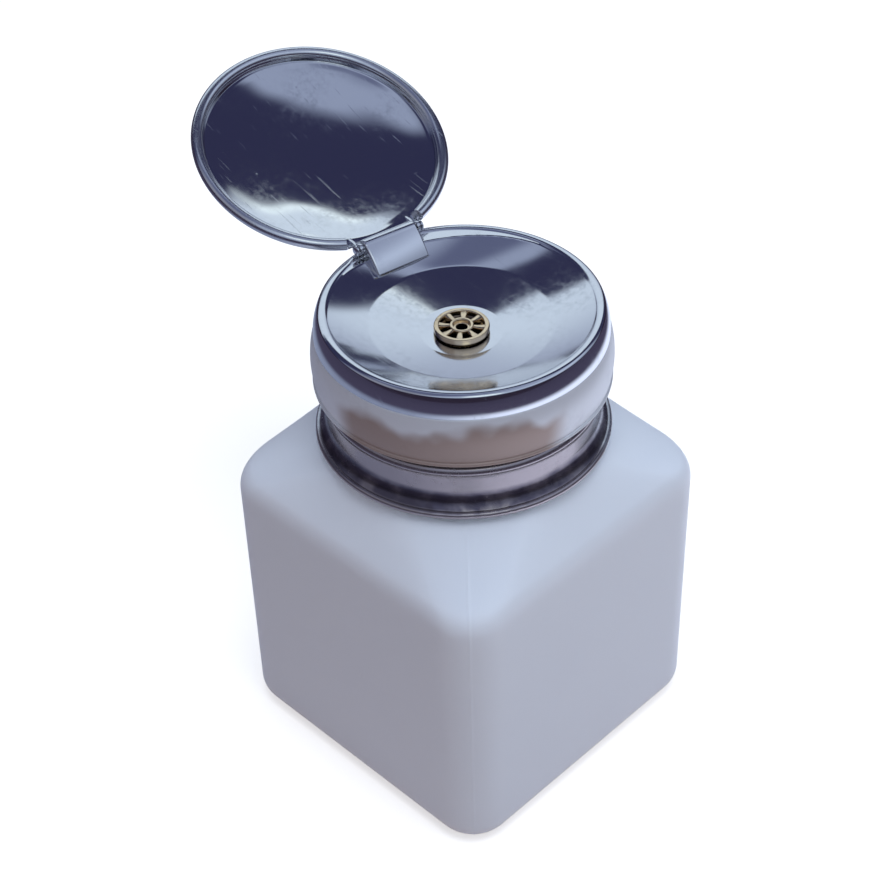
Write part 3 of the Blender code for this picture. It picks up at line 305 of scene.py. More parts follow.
class StageSettings(bpy.types.PropertyGroup):
    azimuth: angle("Azimuth", "Turn of the camera about the bottle", 45.75)
    elevation: angle("Elevation", "Height of the camera over the horizon", 40.24)
    roll: angle("Roll", "Turn of the camera about its own axis", -1.93)
    distance: length("Distance", "From the camera to the aim", 0.34353)
    aim_height: length("Aim height", "Height of the point that the camera turns about", 0.030)
    aim_right: length("Aim right", "How far the aim lies right of that point", -0.00475)
    aim_up: length("Aim up", "How far the aim lies above that point", 0.02083)
    lens: FloatProperty(name="Lens", description="Focal length on a 36 mm sensor",
                        default=81.796, unit='CAMERA')
    floor: colour("Floor", "Colour of the plain floor", (0.86, 0.83, 0.77))
    floor_bounce: colour("Floor bounce", "Colour of the light that the floor throws back",
                         (0.56, 0.40, 0.33))
    floor_near: colour("Near floor", "Colour of the floor by the bottle in the metal",
                       (0.90, 0.92, 1.0))
    floor_left: colour("Floor on the left", "Colour of the floor left of the bottle in the metal",
                       (0.24, 0.26, 0.33))
    floor_far: colour("Far floor", "Colour of the distant floor in the metal",
                      (0.06, 0.05, 0.08))
    far_wall: colour("Far wall", "Colour of the bright far side in the metal",
                     (0.74, 0.86, 1.0))
    far_wall_low: colour("Far wall foot", "Colour low on the far side in the metal",
                         (0.40, 0.46, 0.61))
    window: colour("Window", "Colour of the brightest part of the far side", (0.84, 0.96, 1.0))
    window_glow: FloatProperty(name="Window glow", description="Brightness of the window",
                               default=1.3, min=0)
    right_wall: colour("Right wall", "Colour of the bright right side in the metal",
                       (0.60, 0.70, 0.90))
    right_wall_low: colour("Right wall foot", "Colour low on the right in the metal",
                           (0.30, 0.35, 0.47))
    right_ceiling: colour("Right ceiling", "Colour high on the right in the metal",
                          (0.36, 0.42, 0.58))
    ceiling: colour("Ceiling", "Colour of the dark ceiling in the metal",
                    (0.034, 0.036, 0.088))
    zenith: colour("Zenith", "Colour straight above in the metal", (0.13, 0.15, 0.26))
    near_wall: colour("Near wall", "Colour of the dim near side in the metal",
                      (0.28, 0.30, 0.38))
    skirting: colour("Skirting", "Colour near the horizon on the near side",
                     (0.030, 0.022, 0.042))
    top_light: colour("Top light", "Soft light from above", (0.47, 0.55, 0.74))
    left_light: colour("Left light", "Soft light from the left", (0.22, 0.18, 0.15))
    right_light: colour("Right light", "Soft light from the right", (0.72, 0.84, 0.96))
    key_power: FloatProperty(name="Key power", description="Power of the soft key light",
                             default=1.3, min=0, unit='POWER')
    key_size: length("Key size", "Width of the soft key light", 0.30)
    key_aim: length("Key aim", "Height of the point that the key light faces", 0.07)
    key_distance: length("Key distance", "From the key light to that point", 0.6)
    key_turn: FloatProperty(name="Key turn", description="Heading of the key light in degrees",
                            default=335)
    key_rise: FloatProperty(name="Key rise", description="Height of the key light in degrees",
                            default=74)
    key_tone: colour("Key tone", "Colour of the key light", (0.90, 0.95, 1.0))


class BottleProject(bpy.types.PropertyGroup):
    bottle: PointerProperty(type=BottleSizes)
    collar: PointerProperty(type=CollarSizes)
    head: PointerProperty(type=HeadSizes)
    nozzle: PointerProperty(type=NozzleSizes)
    hinge: PointerProperty(type=HingeSizes)
    lid: PointerProperty(type=LidSizes)
    pump: PointerProperty(type=PumpSizes)
    finish: PointerProperty(type=Finishes)
    stage: PointerProperty(type=StageSettings)


# Outlines

def arc_through(first, middle, last, steps=ARC_STEPS):
    """Points of the circle through three points, both ends included."""
    (ax, ay), (bx, by), (cx, cy) = first, middle, last
    cross = 2 * (ax * (by - cy) + bx * (cy - ay) + cx * (ay - by))
    a2, b2, c2 = ax * ax + ay * ay, bx * bx + by * by, cx * cx + cy * cy
    ox = (a2 * (by - cy) + b2 * (cy - ay) + c2 * (ay - by)) / cross
    oy = (a2 * (cx - bx) + b2 * (ax - cx) + c2 * (bx - ax)) / cross
    radius = math.hypot(ax - ox, ay - oy)
    start = math.atan2(ay - oy, ax - ox)
    end = math.atan2(cy - oy, cx - ox)
    via = math.atan2(by - oy, bx - ox)
    turn = (end - start) % math.tau
    if (via - start) % math.tau > turn:
        turn -= math.tau
    turns = [start + turn * step / steps for step in range(steps + 1)]
    return [(ox + radius * math.cos(a), oy + radius * math.sin(a)) for a in turns]


def arc_about(centre, radius, start, end, steps=ARC_STEPS):
    """Points of an arc about a centre; angles in degrees."""
    turns = [math.radians(start + (end - start) * step / steps) for step in range(steps + 1)]
    return [(centre[0] + radius * math.cos(a), centre[1] + radius * math.sin(a)) for a in turns]


def offset_path(path, distance):
    """The path moved sideways to the left of its travel, with mitred corners."""
    moved = []
    for index, point in enumerate(path):
        before = path[max(index - 1, 0)]
        after = path[min(index + 1, len(path) - 1)]
        normals = []
        for tail, tip in ((before, point), (point, after)):
            run, rise = tip[0] - tail[0], tip[1] - tail[1]
            span = math.hypot(run, rise)
            if span > 0:
                normals.append((-rise / span, run / span))
        nx = sum(n[0] for n in normals) / len(normals)
        ny = sum(n[1] for n in normals) / len(normals)
        scale = distance / (nx * nx + ny * ny)
        moved.append((point[0] + nx * scale, point[1] + ny * scale))
    return moved


def softened(corners, steps=4):
    """A closed outline of (x, y, radius) corners, with each corner rounded."""
    outline = []
    count = len(corners)
    for index, (x, y, radius) in enumerate(corners):
        here = Vector((x, y))
        before = Vector(corners[index - 1][:2]) - here
        after = Vector(corners[(index + 1) % count][:2]) - here
        bend = before.angle(after) if radius > 0 and before.length * after.length > 0 else math.pi
        if bend > math.pi - math.radians(1):
            outline.append((x, y))
            continue
        reach = min(radius / math.tan(bend / 2), before.length * 0.48, after.length * 0.48)
        start, end = here + before.normalized() * reach, here + after.normalized() * reach
        for step in range(steps + 1):
            t = step / steps
            point = start * (1 - t) ** 2 + here * 2 * t * (1 - t) + end * t ** 2
            outline.append((point.x, point.y))
    return outline


def smooth_step(value, low, high):
    """0 under low, 1 over high, and an even S between them."""
    t = min(max((value - low) / (high - low), 0), 1)
    return t * t * (3 - 2 * t)


def bump(value, centre, width):
    """A bell that is 1 at its centre."""
    return math.exp(-((value - centre) / width) ** 2)


# Meshes

def new_piece(name, mesh, *materials):
    """Make an object of a finished bmesh, shaded smooth between its sharp edges."""
    bmesh.ops.recalc_face_normals(mesh, faces=mesh.faces)
    data = bpy.data.meshes.new(name)
    mesh.to_mesh(data)
    mesh.free()
    data.shade_smooth()
    data.set_sharp_from_angle(angle=SMOOTH_ANGLE)
    for material in materials:
        data.materials.append(material)
    piece = bpy.data.objects.new(name, data)
    bpy.context.scene.collection.objects.link(piece)
    return piece


def sweep_rings(mesh, rings):
    """Skin closed rings of equal count; a ring of one point closes to a pole."""
    rows = [[mesh.verts.new(point) for point in ring] for ring in rings]
    count = max(len(row) for row in rows)
    for low, high in zip(rows, rows[1:]):
        for index in range(count):
            after = (index + 1) % count
            if len(low) == 1 and len(high) > 1:
                mesh.faces.new((low[0], high[after], high[index]))
            elif len(high) == 1 and len(low) > 1:
                mesh.faces.new((low[index], low[after], high[0]))
            elif len(low) > 1:
                mesh.faces.new((low[index], low[after], high[after], high[index]))
    return rows


def loft_rings(mesh, rings):
    """Skin closed rings of equal count and cap both ends."""
    rows = sweep_rings(mesh, rings)
    mesh.faces.new(rows[0][::-1])
    mesh.faces.new(rows[-1])


def turned_mesh(outline, facets, warp=None):
    """Turn a closed outline of (radius, height) points once about the Z axis."""
    mesh = bmesh.new()
    on_axis = outline[0][0] <= 0 and outline[-1][0] <= 0
    path = outline if on_axis else outline + outline[:1]
    rings = []
    for radius, height in path:
        if radius <= 0:
            rings.append([(0, 0, height)])
            continue
        ring = []
        for step in range(facets):
            turn = math.tau * step / facets
            place = (radius, turn, height) if warp is None else warp(radius, turn, height)
            ring.append((place[0] * math.cos(place[1]), place[0] * math.sin(place[1]), place[2]))
        rings.append(ring)
    sweep_rings(mesh, rings)
    bmesh.ops.remove_doubles(mesh, verts=mesh.verts, dist=WELD_DISTANCE)
    return mesh


def turned(name, outline, material, facets=TURNED_FACETS, warp=None):
    return new_piece(name, turned_mesh(outline, facets, warp), material)


def add_eye_plate(mesh, outline, hole, place, low, high):
    """Add a flat plate with a round hole about its origin, which sees the whole outline."""
    dense = []
    for (ax, ay), (bx, by) in zip(outline, outline[1:] + outline[:1]):
        sweep = abs(math.atan2(ax * by - ay * bx, ax * bx + ay * by))
        steps = max(1, math.ceil(math.degrees(sweep) / 8))
        dense += [(ax + (bx - ax) * step / steps, ay + (by - ay) * step / steps)
                  for step in range(steps)]
    bore = [(x * hole / math.hypot(x, y), y * hole / math.hypot(x, y)) for x, y in dense]
    loops = [[place(x, y, depth) for x, y in ring]
             for ring, depth in ((dense, low), (dense, high), (bore, high), (bore, low))]
    rows = [[mesh.verts.new(point) for point in loop] for loop in loops]
    for row, after in zip(rows, rows[1:] + rows[:1]):
        for index in range(len(dense)):
            mesh.faces.new((row[index - 1], row[index], after[index], after[index - 1]))


def soften_edges(mesh, width, least=50):
    """Break the sharp edges of a mesh by a small width."""
    bmesh.ops.recalc_face_normals(mesh, faces=mesh.faces)
    sharp = [edge for edge in mesh.edges
             if len(edge.link_faces) == 2 and edge.calc_face_angle(0) > math.radians(least)]
    bmesh.ops.bevel(mesh, geom=sharp, offset=width, segments=2, profile=0.5,
                    affect='EDGES', clamp_overlap=True)


def plain_mesh_of(piece):
    """Turn an object's evaluated shape, nodes included, into its own plain mesh."""
    graph = bpy.context.evaluated_depsgraph_get()
    data = bpy.data.meshes.new_from_object(piece.evaluated_get(graph))
    data.name = piece.name
    piece.modifiers.clear()
    piece.data = data
    return piece


def settle(piece, body, slot, *nodes):
    """Let a piece ride on its body and stand for its CAD nodes; the slot is not used."""
    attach(piece, body)
    if nodes:
        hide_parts(*nodes)
    return piece


# Node helpers

def add_node(tree, kind, **settings):
    node = tree.nodes.new(kind)
    for name, value in settings.items():
        setattr(node, name, value)
    return node


def feed(tree, socket, value):
    """Link a socket, or set its own value."""
    if isinstance(value, bpy.types.NodeSocket):
        tree.links.new(value, socket)
    else:
        socket.default_value = value


def wired(tree, kind, sockets, **settings):
    """A node whose named inputs are linked or set."""
    node = add_node(tree, kind, **settings)
    for name, value in sockets.items():
        feed(tree, node.inputs[name], value)
    return node


def calculate(tree, operation, *values):
    node = add_node(tree, 'ShaderNodeMath', operation=operation)
    for socket, value in zip(node.inputs, values):
        feed(tree, socket, value)
    return node.outputs[0]


def product(tree, *factors):
    result = factors[0]
    for factor in factors[1:]:
        result = calculate(tree, 'MULTIPLY', result, factor)
    return result


def dot(tree, vector, direction):
    node = add_node(tree, 'ShaderNodeVectorMath', operation='DOT_PRODUCT')
    feed(tree, node.inputs[0], vector)
    feed(tree, node.inputs[1], tuple(direction))
    return node.outputs["Value"]


def between(tree, value, low, high, first=0.0, last=1.0):
    """Map a value from low..high to first..last with a soft start and end."""
    node = wired(tree, 'ShaderNodeMapRange',
                 {"Value": value, "From Min": low, "From Max": high, "To Min": first,
                  "To Max": last}, interpolation_type='SMOOTHSTEP')
    return node.outputs["Result"]


def mix(tree, factor, first, second):
    node = add_node(tree, 'ShaderNodeMix', data_type='RGBA')
    feed(tree, node.inputs["Factor"], factor)
    for socket, value in zip([s for s in node.inputs if s.type == 'RGBA'], (first, second)):
        feed(tree, socket, value if isinstance(value, bpy.types.NodeSocket) else (*value, 1.0))
    return next(s for s in node.outputs if s.type == 'RGBA')


def noise(tree, vector, scale, detail=2.0, roughness=0.5):
    node = wired(tree, 'ShaderNodeTexNoise', {"Vector": vector, "Scale": scale,
                                              "Detail": detail, "Roughness": roughness})
    return node.outputs["Fac"]


def mapped(tree, vector, turn=(0, 0, 0), scale=(1, 1, 1)):
    node = wired(tree, 'ShaderNodeMapping',
                 {"Vector": vector, "Rotation": turn, "Scale": scale})
    return node.outputs["Vector"]


def new_group(name, inputs, outputs):
    """A shader node group with named (name, kind, default) inputs and (name, kind) outputs."""
    group = bpy.data.node_groups.new(name, 'ShaderNodeTree')
    for label, kind, default in inputs:
        socket = group.interface.new_socket(label, in_out='INPUT', socket_type=kind)
        socket.default_value = default
    for label, kind in outputs:
        group.interface.new_socket(label, in_out='OUTPUT', socket_type=kind)
    return group, add_node(group, 'NodeGroupInput'), add_node(group, 'NodeGroupOutput')


# Shared surface effects

def handled_metal_group():
    """Smudges, fine scratches and specks of metal that is touched every day."""
    found = bpy.data.node_groups.get("handled_metal")
    if found:
        return found
    tree, given, made = new_group(
        "handled_metal",
        [("Clean Colour", 'NodeSocketColor', (0.7, 0.7, 0.7, 1)),
         ("Smudged Colour", 'NodeSocketColor', (0.6, 0.6, 0.6, 1)),
         ("Roughness", 'NodeSocketFloat', 0.1), ("Smudge", 'NodeSocketFloat', 0.05),
         ("Scratch", 'NodeSocketFloat', 0.3), ("Speck", 'NodeSocketFloat', 0.3),
         ("Wave", 'NodeSocketFloat', 0.2)],
        [("Colour", 'NodeSocketColor'), ("Roughness", 'NodeSocketFloat'),
         ("Height", 'NodeSocketFloat')])
    place = add_node(tree, 'ShaderNodeTexCoord').outputs["Object"]
    broad = between(tree, noise(tree, place, 95, 3, 0.6), 0.42, 0.68)
    fine = between(tree, noise(tree, place, 900, 4, 0.65), 0.35, 0.75)
    smudges = product(tree, broad, fine)
    scratches = None
    for turn, stretch in ((0.5, 60), (1.7, 45), (2.6, 75)):
        line = mapped(tree, place, (0.3 * turn, 0.2, turn), (stretch, 2600, 420))
        thin = between(tree, noise(tree, line, 1, 1, 0.4), 0.73, 0.79)
        scratches = thin if scratches is None else calculate(tree, 'MAXIMUM', scratches, thin)
    cells = wired(tree, 'ShaderNodeTexVoronoi', {"Vector": place, "Scale": 330})
    speck = between(tree, cells.outputs["Distance"], 0.10, 0.03)
    rare = between(tree, dot(tree, cells.outputs["Color"], (1, 0, 0)), 0.86, 0.9)
    specks = product(tree, speck, rare, given.outputs["Speck"])
    marks = calculate(tree, 'MAXIMUM', product(tree, scratches, given.outputs["Scratch"]),
                      specks)
    tone = mix(tree, product(tree, smudges, 0.6), given.outputs["Clean Colour"],
               given.outputs["Smudged Colour"])
    rough = calculate(tree, 'MULTIPLY_ADD', smudges, given.outputs["Smudge"],
                      given.outputs["Roughness"])
    rough = calculate(tree, 'MULTIPLY_ADD', marks, 0.16, rough)
    slow = product(tree, noise(tree, place, 70, 1, 0.4), given.outputs["Wave"])
    height = calculate(tree, 'MULTIPLY_ADD', marks, -0.02, slow)
    for label, value in (("Colour", tone), ("Roughness", rough), ("Height", height)):
        feed(tree, made.inputs[label], value)
    return tree


def moulded_plastic_group():
    """Soft mottling and the faint grain of a moulded plastic skin."""
    found = bpy.data.node_groups.get("moulded_plastic")
    if found:
        return found
    tree, given, made = new_group(
        "moulded_plastic",
        [("Colour", 'NodeSocketColor', (0.8, 0.8, 0.8, 1)),
         ("Shade", 'NodeSocketColor', (0.7, 0.7, 0.7, 1)),
         ("Roughness", 'NodeSocketFloat', 0.4), ("Grain", 'NodeSocketFloat', 0.1)],
        [("Colour", 'NodeSocketColor'), ("Roughness", 'NodeSocketFloat'),
         ("Height", 'NodeSocketFloat')])
    place = add_node(tree, 'ShaderNodeTexCoord').outputs["Object"]
    mottle = between(tree, noise(tree, place, 32, 2, 0.5), 0.35, 0.7)
    grain = noise(tree, place, 2600, 2, 0.6)
    scuffs = between(tree, noise(tree, place, 420, 5, 0.7), 0.55, 0.8)
    tone = mix(tree, product(tree, mottle, 0.5), given.outputs["Colour"],
               given.outputs["Shade"])
    rough = calculate(tree, 'MULTIPLY_ADD', scuffs, 0.12, given.outputs["Roughness"])
    height = product(tree, grain, given.outputs["Grain"])
    for label, value in (("Colour", tone), ("Roughness", rough), ("Height", height)):
        feed(tree, made.inputs[label], value)
    return tree


def finished_material(name, group, values, metallic=0.0, bump_distance=0.0001, **sockets):
    """A Principled material whose colour, roughness and bump come from a shared group."""
    found = bpy.data.materials.get(name)
    if found:
        return found
    material = bpy.data.materials.new(name)
    material.use_nodes = True
    tree = material.node_tree
    shader = tree.nodes["Principled BSDF"]
    effect = add_node(tree, 'ShaderNodeGroup', node_tree=group)
    for label, value in values.items():
        effect.inputs[label].default_value = value
    relief = add_node(tree, 'ShaderNodeBump')
    relief.inputs["Distance"].default_value = bump_distance
    tree.links.new(effect.outputs["Height"], relief.inputs["Height"])
    tree.links.new(effect.outputs["Colour"], shader.inputs["Base Color"])
    tree.links.new(effect.outputs["Roughness"], shader.inputs["Roughness"])
    tree.links.new(relief.outputs["Normal"], shader.inputs["Normal"])
    shader.inputs["Metallic"].default_value = metallic
    for label, value in sockets.items():
        shader.inputs[label.replace("_", " ").title()].default_value = value
    return material


# Materials

def metal(name, clean, smudged, roughness, smudge, scratch, speck, wave, metallic=1.0):
    values = {"Clean Colour": (*clean, 1), "Smudged Colour": (*smudged, 1),
              "Roughness": roughness, "Smudge": smudge, "Scratch": scratch, "Speck": speck,
              "Wave": wave}
    return finished_material(name, handled_metal_group(), values, metallic=metallic)


def steel(finish, name, **look):
    return metal(name, finish.steel, finish.smudge, **look)


def tarnish_and_reflection_group():
    """Warm patches that climb unevenly from a band's foot on one side, partly tarnish and partly
    painted reflection, and a painted dark reflection in a band just above the foot.

    The heights are in metres; the side is the distance of the patches' edge from the axis, in
    millimetres towards the side that they lie on.
    """
    found = bpy.data.node_groups.get("warm_tarnish")
    if found:
        return found
    tree, given, made = new_group(
        "warm_tarnish",
        [("Colour", 'NodeSocketColor', (0.7, 0.7, 0.7, 1)),
         ("Stain", 'NodeSocketColor', (0.3, 0.2, 0.2, 1)),
         ("Foot Height", 'NodeSocketFloat', 0.07), ("Climb", 'NodeSocketFloat', 0.004),
         ("Softness", 'NodeSocketFloat', 0.002), ("Side", 'NodeSocketFloat', 15.5),
         ("Grime Low", 'NodeSocketFloat', 0.0),
         ("Grime High", 'NodeSocketFloat', 0.0), ("Grime", 'NodeSocketFloat', 0.0),
         ("Grime Colour", 'NodeSocketColor', (0.06, 0.052, 0.085, 1))],
        [("Colour", 'NodeSocketColor')])
    place = add_node(tree, 'ShaderNodeTexCoord').outputs["Object"]
    height = calculate(tree, 'SUBTRACT', dot(tree, place, (0, 0, 1)),
                       given.outputs["Foot Height"])
    around = dot(tree, place, heading(TARNISH_AND_REFLECTION_SIDE) / MILLIMETRE)
    side = between(tree, calculate(tree, 'SUBTRACT', around, given.outputs["Side"]), 0.0, 3.5)
    waves = calculate(tree, 'MULTIPLY_ADD', noise(tree, place, 105, 2, 0.5), 1.3, 0.30)
    limit = product(tree, waves, given.outputs["Climb"])
    fade = calculate(tree, 'DIVIDE', calculate(tree, 'SUBTRACT', limit, height),
                     given.outputs["Softness"])
    # Mask of the warm patches: partly tarnish, partly painted reflection
    tarnish_and_reflection_mask = product(tree, between(tree, fade, -0.5, 0.5), side, 0.85)
    tone = mix(tree, tarnish_and_reflection_mask, given.outputs["Colour"], given.outputs["Stain"])
    # Painted dark reflection: a dark band between two heights over the foot, which on the collar
    # fills the concave flare
    rise = calculate(tree, 'SUBTRACT', height, given.outputs["Grime Low"])
    fall = calculate(tree, 'SUBTRACT', given.outputs["Grime High"], height)
    patchy = between(tree, noise(tree, place, 260, 3, 0.6), 0.25, 0.60, 0.45, 1.0)
    painted_dark_reflection = product(tree, between(tree, rise, -0.0002, 0.0003),
                    between(tree, fall, -0.0005, 0.0005), patchy, given.outputs["Grime"])
    feed(tree, made.inputs["Colour"],
         mix(tree, painted_dark_reflection, tone, given.outputs["Grime Colour"]))
    return tree


def lay_tarnish_and_reflection(material, tone, foot, climb, softness, side, dark_reflection_low=0.0, dark_reflection_high=0.0,
          painted_dark_reflection=0.0):
    """Lay the warm patches, partly tarnish and partly painted reflection, and the painted dark
    reflection over a material's own colour.
    """
    if "tarnish" in material.node_tree.nodes:
        return material
    tree = material.node_tree
    effect = add_node(tree, 'ShaderNodeGroup', node_tree=tarnish_and_reflection_group(), name="tarnish")
    base = tree.nodes["Principled BSDF"].inputs["Base Color"]
    tree.links.new(base.links[0].from_socket, effect.inputs["Colour"])
    effect.inputs["Stain"].default_value = (*tone, 1)
    for label, value in (("Foot Height", foot), ("Climb", climb), ("Softness", softness),
                         ("Side", side), ("Grime Low", dark_reflection_low), ("Grime High", dark_reflection_high),
                         ("Grime", painted_dark_reflection)):
        effect.inputs[label].default_value = value
    tree.links.new(effect.outputs["Colour"], base)
    return material


def lid_steel(finish, sizes):
    """Polished panel with a satin rim."""
    material = steel(finish, "lid_steel", roughness=0.06, smudge=0.10, scratch=0.9, speck=1.0,
                     wave=0.15)
    satin_roughness = 0.14
    tree = material.node_tree
    if "rim" in tree.nodes:
        return material
    reach = add_node(tree, 'ShaderNodeVectorMath', operation='DISTANCE', name="rim")
    tree.links.new(add_node(tree, 'ShaderNodeTexCoord').outputs["Object"], reach.inputs[0])
    reach.inputs[1].default_value = (hinge_place(sizes.open_angle)
                                     @ Vector((-sizes.centre_reach, 0, 0)))
    inner = sizes.radius - 2 * sizes.bead
    satin = between(tree, reach.outputs["Value"], inner - 0.1 * MILLIMETRE,
                    inner + 0.3 * MILLIMETRE, 0.0, satin_roughness)
    rough = tree.nodes["Principled BSDF"].inputs["Roughness"]
    tree.links.new(calculate(tree, 'ADD', rough.links[0].from_socket, satin), rough)
    return material


def dish_steel(finish):
    return steel(finish, "dish_steel", roughness=0.10, smudge=0.12, scratch=0.5, speck=0.3,
                 wave=0.30)


def skirt_steel(finish):
    material = steel(finish, "skirt_steel", roughness=0.38, smudge=0.08, scratch=0.3, speck=0.2,
                     wave=0.5, metallic=0.40)
    # Warm patches low on the near side of the skirt: partly tarnish, partly painted reflection
    return lay_tarnish_and_reflection(material, finish.tarnish, foot=lowest("head_skirt").z, climb=0.0066,
                 softness=0.0022, side=15.5)


def collar_steel(finish):
    material = steel(finish, "collar_steel", roughness=0.20, smudge=0.14, scratch=0.3, speck=0.2,
                     wave=0.6, metallic=0.85)
    # Darker patches on the near side of the wall, partly tarnish and partly painted reflection,
    # and a painted dark reflection in the concave flare
    return lay_tarnish_and_reflection(material, finish.collar_tarnish_and_reflection, foot=lowest("collar").z, climb=0.0150,
                 softness=0.0020, side=4.0, dark_reflection_low=0.0012, dark_reflection_high=0.0040, painted_dark_reflection=0.88)


def hinge_steel(finish):
    return steel(finish, "hinge_steel", roughness=0.13, smudge=0.20, scratch=0.6, speck=0.3,
                 wave=0.8)


def spring_steel(finish):
    return metal("spring_steel", finish.spring, finish.smudge, roughness=0.25, smudge=0.15,
                 scratch=0.2, speck=0.0, wave=0.1)


def turned_brass(finish):
    """Brass darkened in the hollows under the nozzle's face, partly by dirt and partly by painted
    shade.
    """
    material = metal("turned_brass", finish.brass, finish.brass_dirt_and_shade, roughness=0.20,
                     smudge=0.25, scratch=0.3, speck=0.2, wave=0.2)
    clean_depth, dark_depth = 0.5 * MILLIMETRE, 1.2 * MILLIMETRE
    tree = material.node_tree
    if "hollows" in tree.nodes:
        return material
    place = add_node(tree, 'ShaderNodeTexCoord', name="hollows").outputs["Object"]
    top = highest("nozzle_insert").z
    # Painted shade with dirt: the brass darkens with depth under the face
    deep = between(tree, dot(tree, place, (0, 0, 1)), top - clean_depth, top - dark_depth)
    base = tree.nodes["Principled BSDF"].inputs["Base Color"]
    tree.links.new(mix(tree, deep, base.links[0].from_socket, finish.brass_dirt_and_shade), base)
    return material


def milky_plastic(finish):
    shade = [0.97 * value for value in finish.milky]
    values = {"Colour": (*finish.milky, 1), "Shade": (*shade, 1), "Roughness": 0.30,
              "Grain": 0.02}
    material = finished_material("milky_plastic", moulded_plastic_group(), values)
    shader = material.node_tree.nodes["Principled BSDF"]
    shader.inputs["Subsurface Weight"].default_value = 0.8
    shader.inputs["Subsurface Radius"].default_value = (1.0, 1.0, 1.0)
    shader.inputs["Subsurface Scale"].default_value = 0.005
    return material


def moulding(name, tone, roughness):
    shade = [0.94 * value for value in tone]
    values = {"Colour": (*tone, 1), "Shade": (*shade, 1), "Roughness": roughness, "Grain": 0.05}
    return finished_material(name, moulded_plastic_group(), values)


def white_moulding(finish):
    return moulding("white_moulding", finish.white, 0.42)


def tube_plastic(finish):
    return moulding("tube_plastic", finish.tube, 0.30)


def black_rubber(finish):
    return moulding("black_rubber", finish.rubber, 0.62)


# Bottle

def square_ring(half, corner_radius, seam_steps):
    """Points of a rounded square with their share of a turn, fine steps at the seams."""
    corner_steps, side_steps = 20, 14
    points = []
    for corner in range(4):
        centre = half - corner_radius
        turn = math.pi / 2 * corner
        middle = 0.5
        shares = {step / corner_steps for step in range(corner_steps + 1)}
        if corner in (1, 3):
            shares |= {middle + step for step in seam_steps}
        for part in sorted(shares):
            around = math.pi / 2 * part
            points.append((centre + corner_radius * math.cos(around),
                           centre + corner_radius * math.sin(around), turn,
                           math.pi / 2 * (corner + 0.5)
                           + (part - middle) * math.pi / 2 * CORNER_SPREAD))
        for step in range(1, side_steps):
            along = step / side_steps
            start = math.pi / 2 * (corner + 0.5) + math.pi / 4 * CORNER_SPREAD
            rest = math.pi / 2 * (1 - CORNER_SPREAD)
            points.append((centre - 2 * centre * along, half, turn, start + rest * along))
    ring = []
    for x, y, turn, around in points:
        ring.append((x * math.cos(turn) - y * math.sin(turn),
                     x * math.sin(turn) + y * math.cos(turn), around))
    return ring


def blended_ring(half, corner_radius, blend, round_radius, height):
    """Ring between a rounded square (blend 0) and a circle (blend 1)."""
    ring = []
    for sx, sy, around in square_ring(half, corner_radius, SEAM_SHARES):
        cx, cy = round_radius * math.cos(around), round_radius * math.sin(around)
        ring.append((sx + (cx - sx) * blend, sy + (cy - sy) * blend, height))
    return ring


def bottle_rings(sizes, wall):
    """Rings of the bottle's skin up to the neck's root, set in by a wall's thickness."""
    half = BOTTLE_HALF - wall
    corner = sizes.corner_radius - wall
    edge = sizes.base_edge - wall
    top_radius = sizes.neck_radius + sizes.shoulder_ledge + 0.5 * MILLIMETRE - wall
    top_height = sizes.shoulder_top - wall
    run = (half - corner) * math.sqrt(2) + corner - top_radius
    slope = math.atan2(sizes.shoulder_top - sizes.shoulder_corner, run)
    rounding = sizes.shoulder_edge - wall
    turn = math.pi / 2 - slope
    tangent = rounding * math.tan(turn / 2)
    meeting = top_height - run * math.tan(slope)
    steps = 12
    rings = []
    for step in range(steps + 1):
        around = math.pi / 2 * step / steps
        inset = edge * (1 - math.sin(around))
        rings.append(blended_ring(half - inset, corner - inset, 0, top_radius,
                                  wall + edge * (1 - math.cos(around))))
    body_top = meeting - tangent
    body_low = wall + edge
    for step in range(1, steps):
        rings.append(blended_ring(half, corner, 0, top_radius,
                                  body_low + (body_top - body_low) * step / steps))
    for step in range(steps + 1):
        around = turn * step / steps
        inward = rounding * (1 - math.cos(around))
        height = body_top + rounding * math.sin(around)
        rings.append(blended_ring(half, corner, inward / run, top_radius, height))
    arc_end = rounding * (1 - math.cos(turn)) / run
    for step in range(1, steps + 1):
        blend = arc_end + (1 - arc_end) * step / steps
        rings.append(blended_ring(half, corner, blend, top_radius,
                                  meeting + run * blend * math.tan(slope)))
    return rings


def raise_seam(mesh, sizes):
    """Lift the parting line where the skin crosses the mould's diagonal plane."""
    mesh.normal_update()
    lifted = []
    for vertex in mesh.verts:
        off = abs(vertex.co.x + vertex.co.y) / math.sqrt(2)
        out = math.hypot(vertex.co.x, vertex.co.y)
        base = vertex.co.z < sizes.seam_width and vertex.normal.z < -0.5
        if off < sizes.seam_width and out > sizes.neck_radius * 0.6 and not base:
            rise = sizes.seam_rise * 0.5 * (1 + math.cos(math.pi * off / sizes.seam_width))
            lifted.append((vertex, vertex.normal * rise))
    for vertex, shift in lifted:
        vertex.co += shift


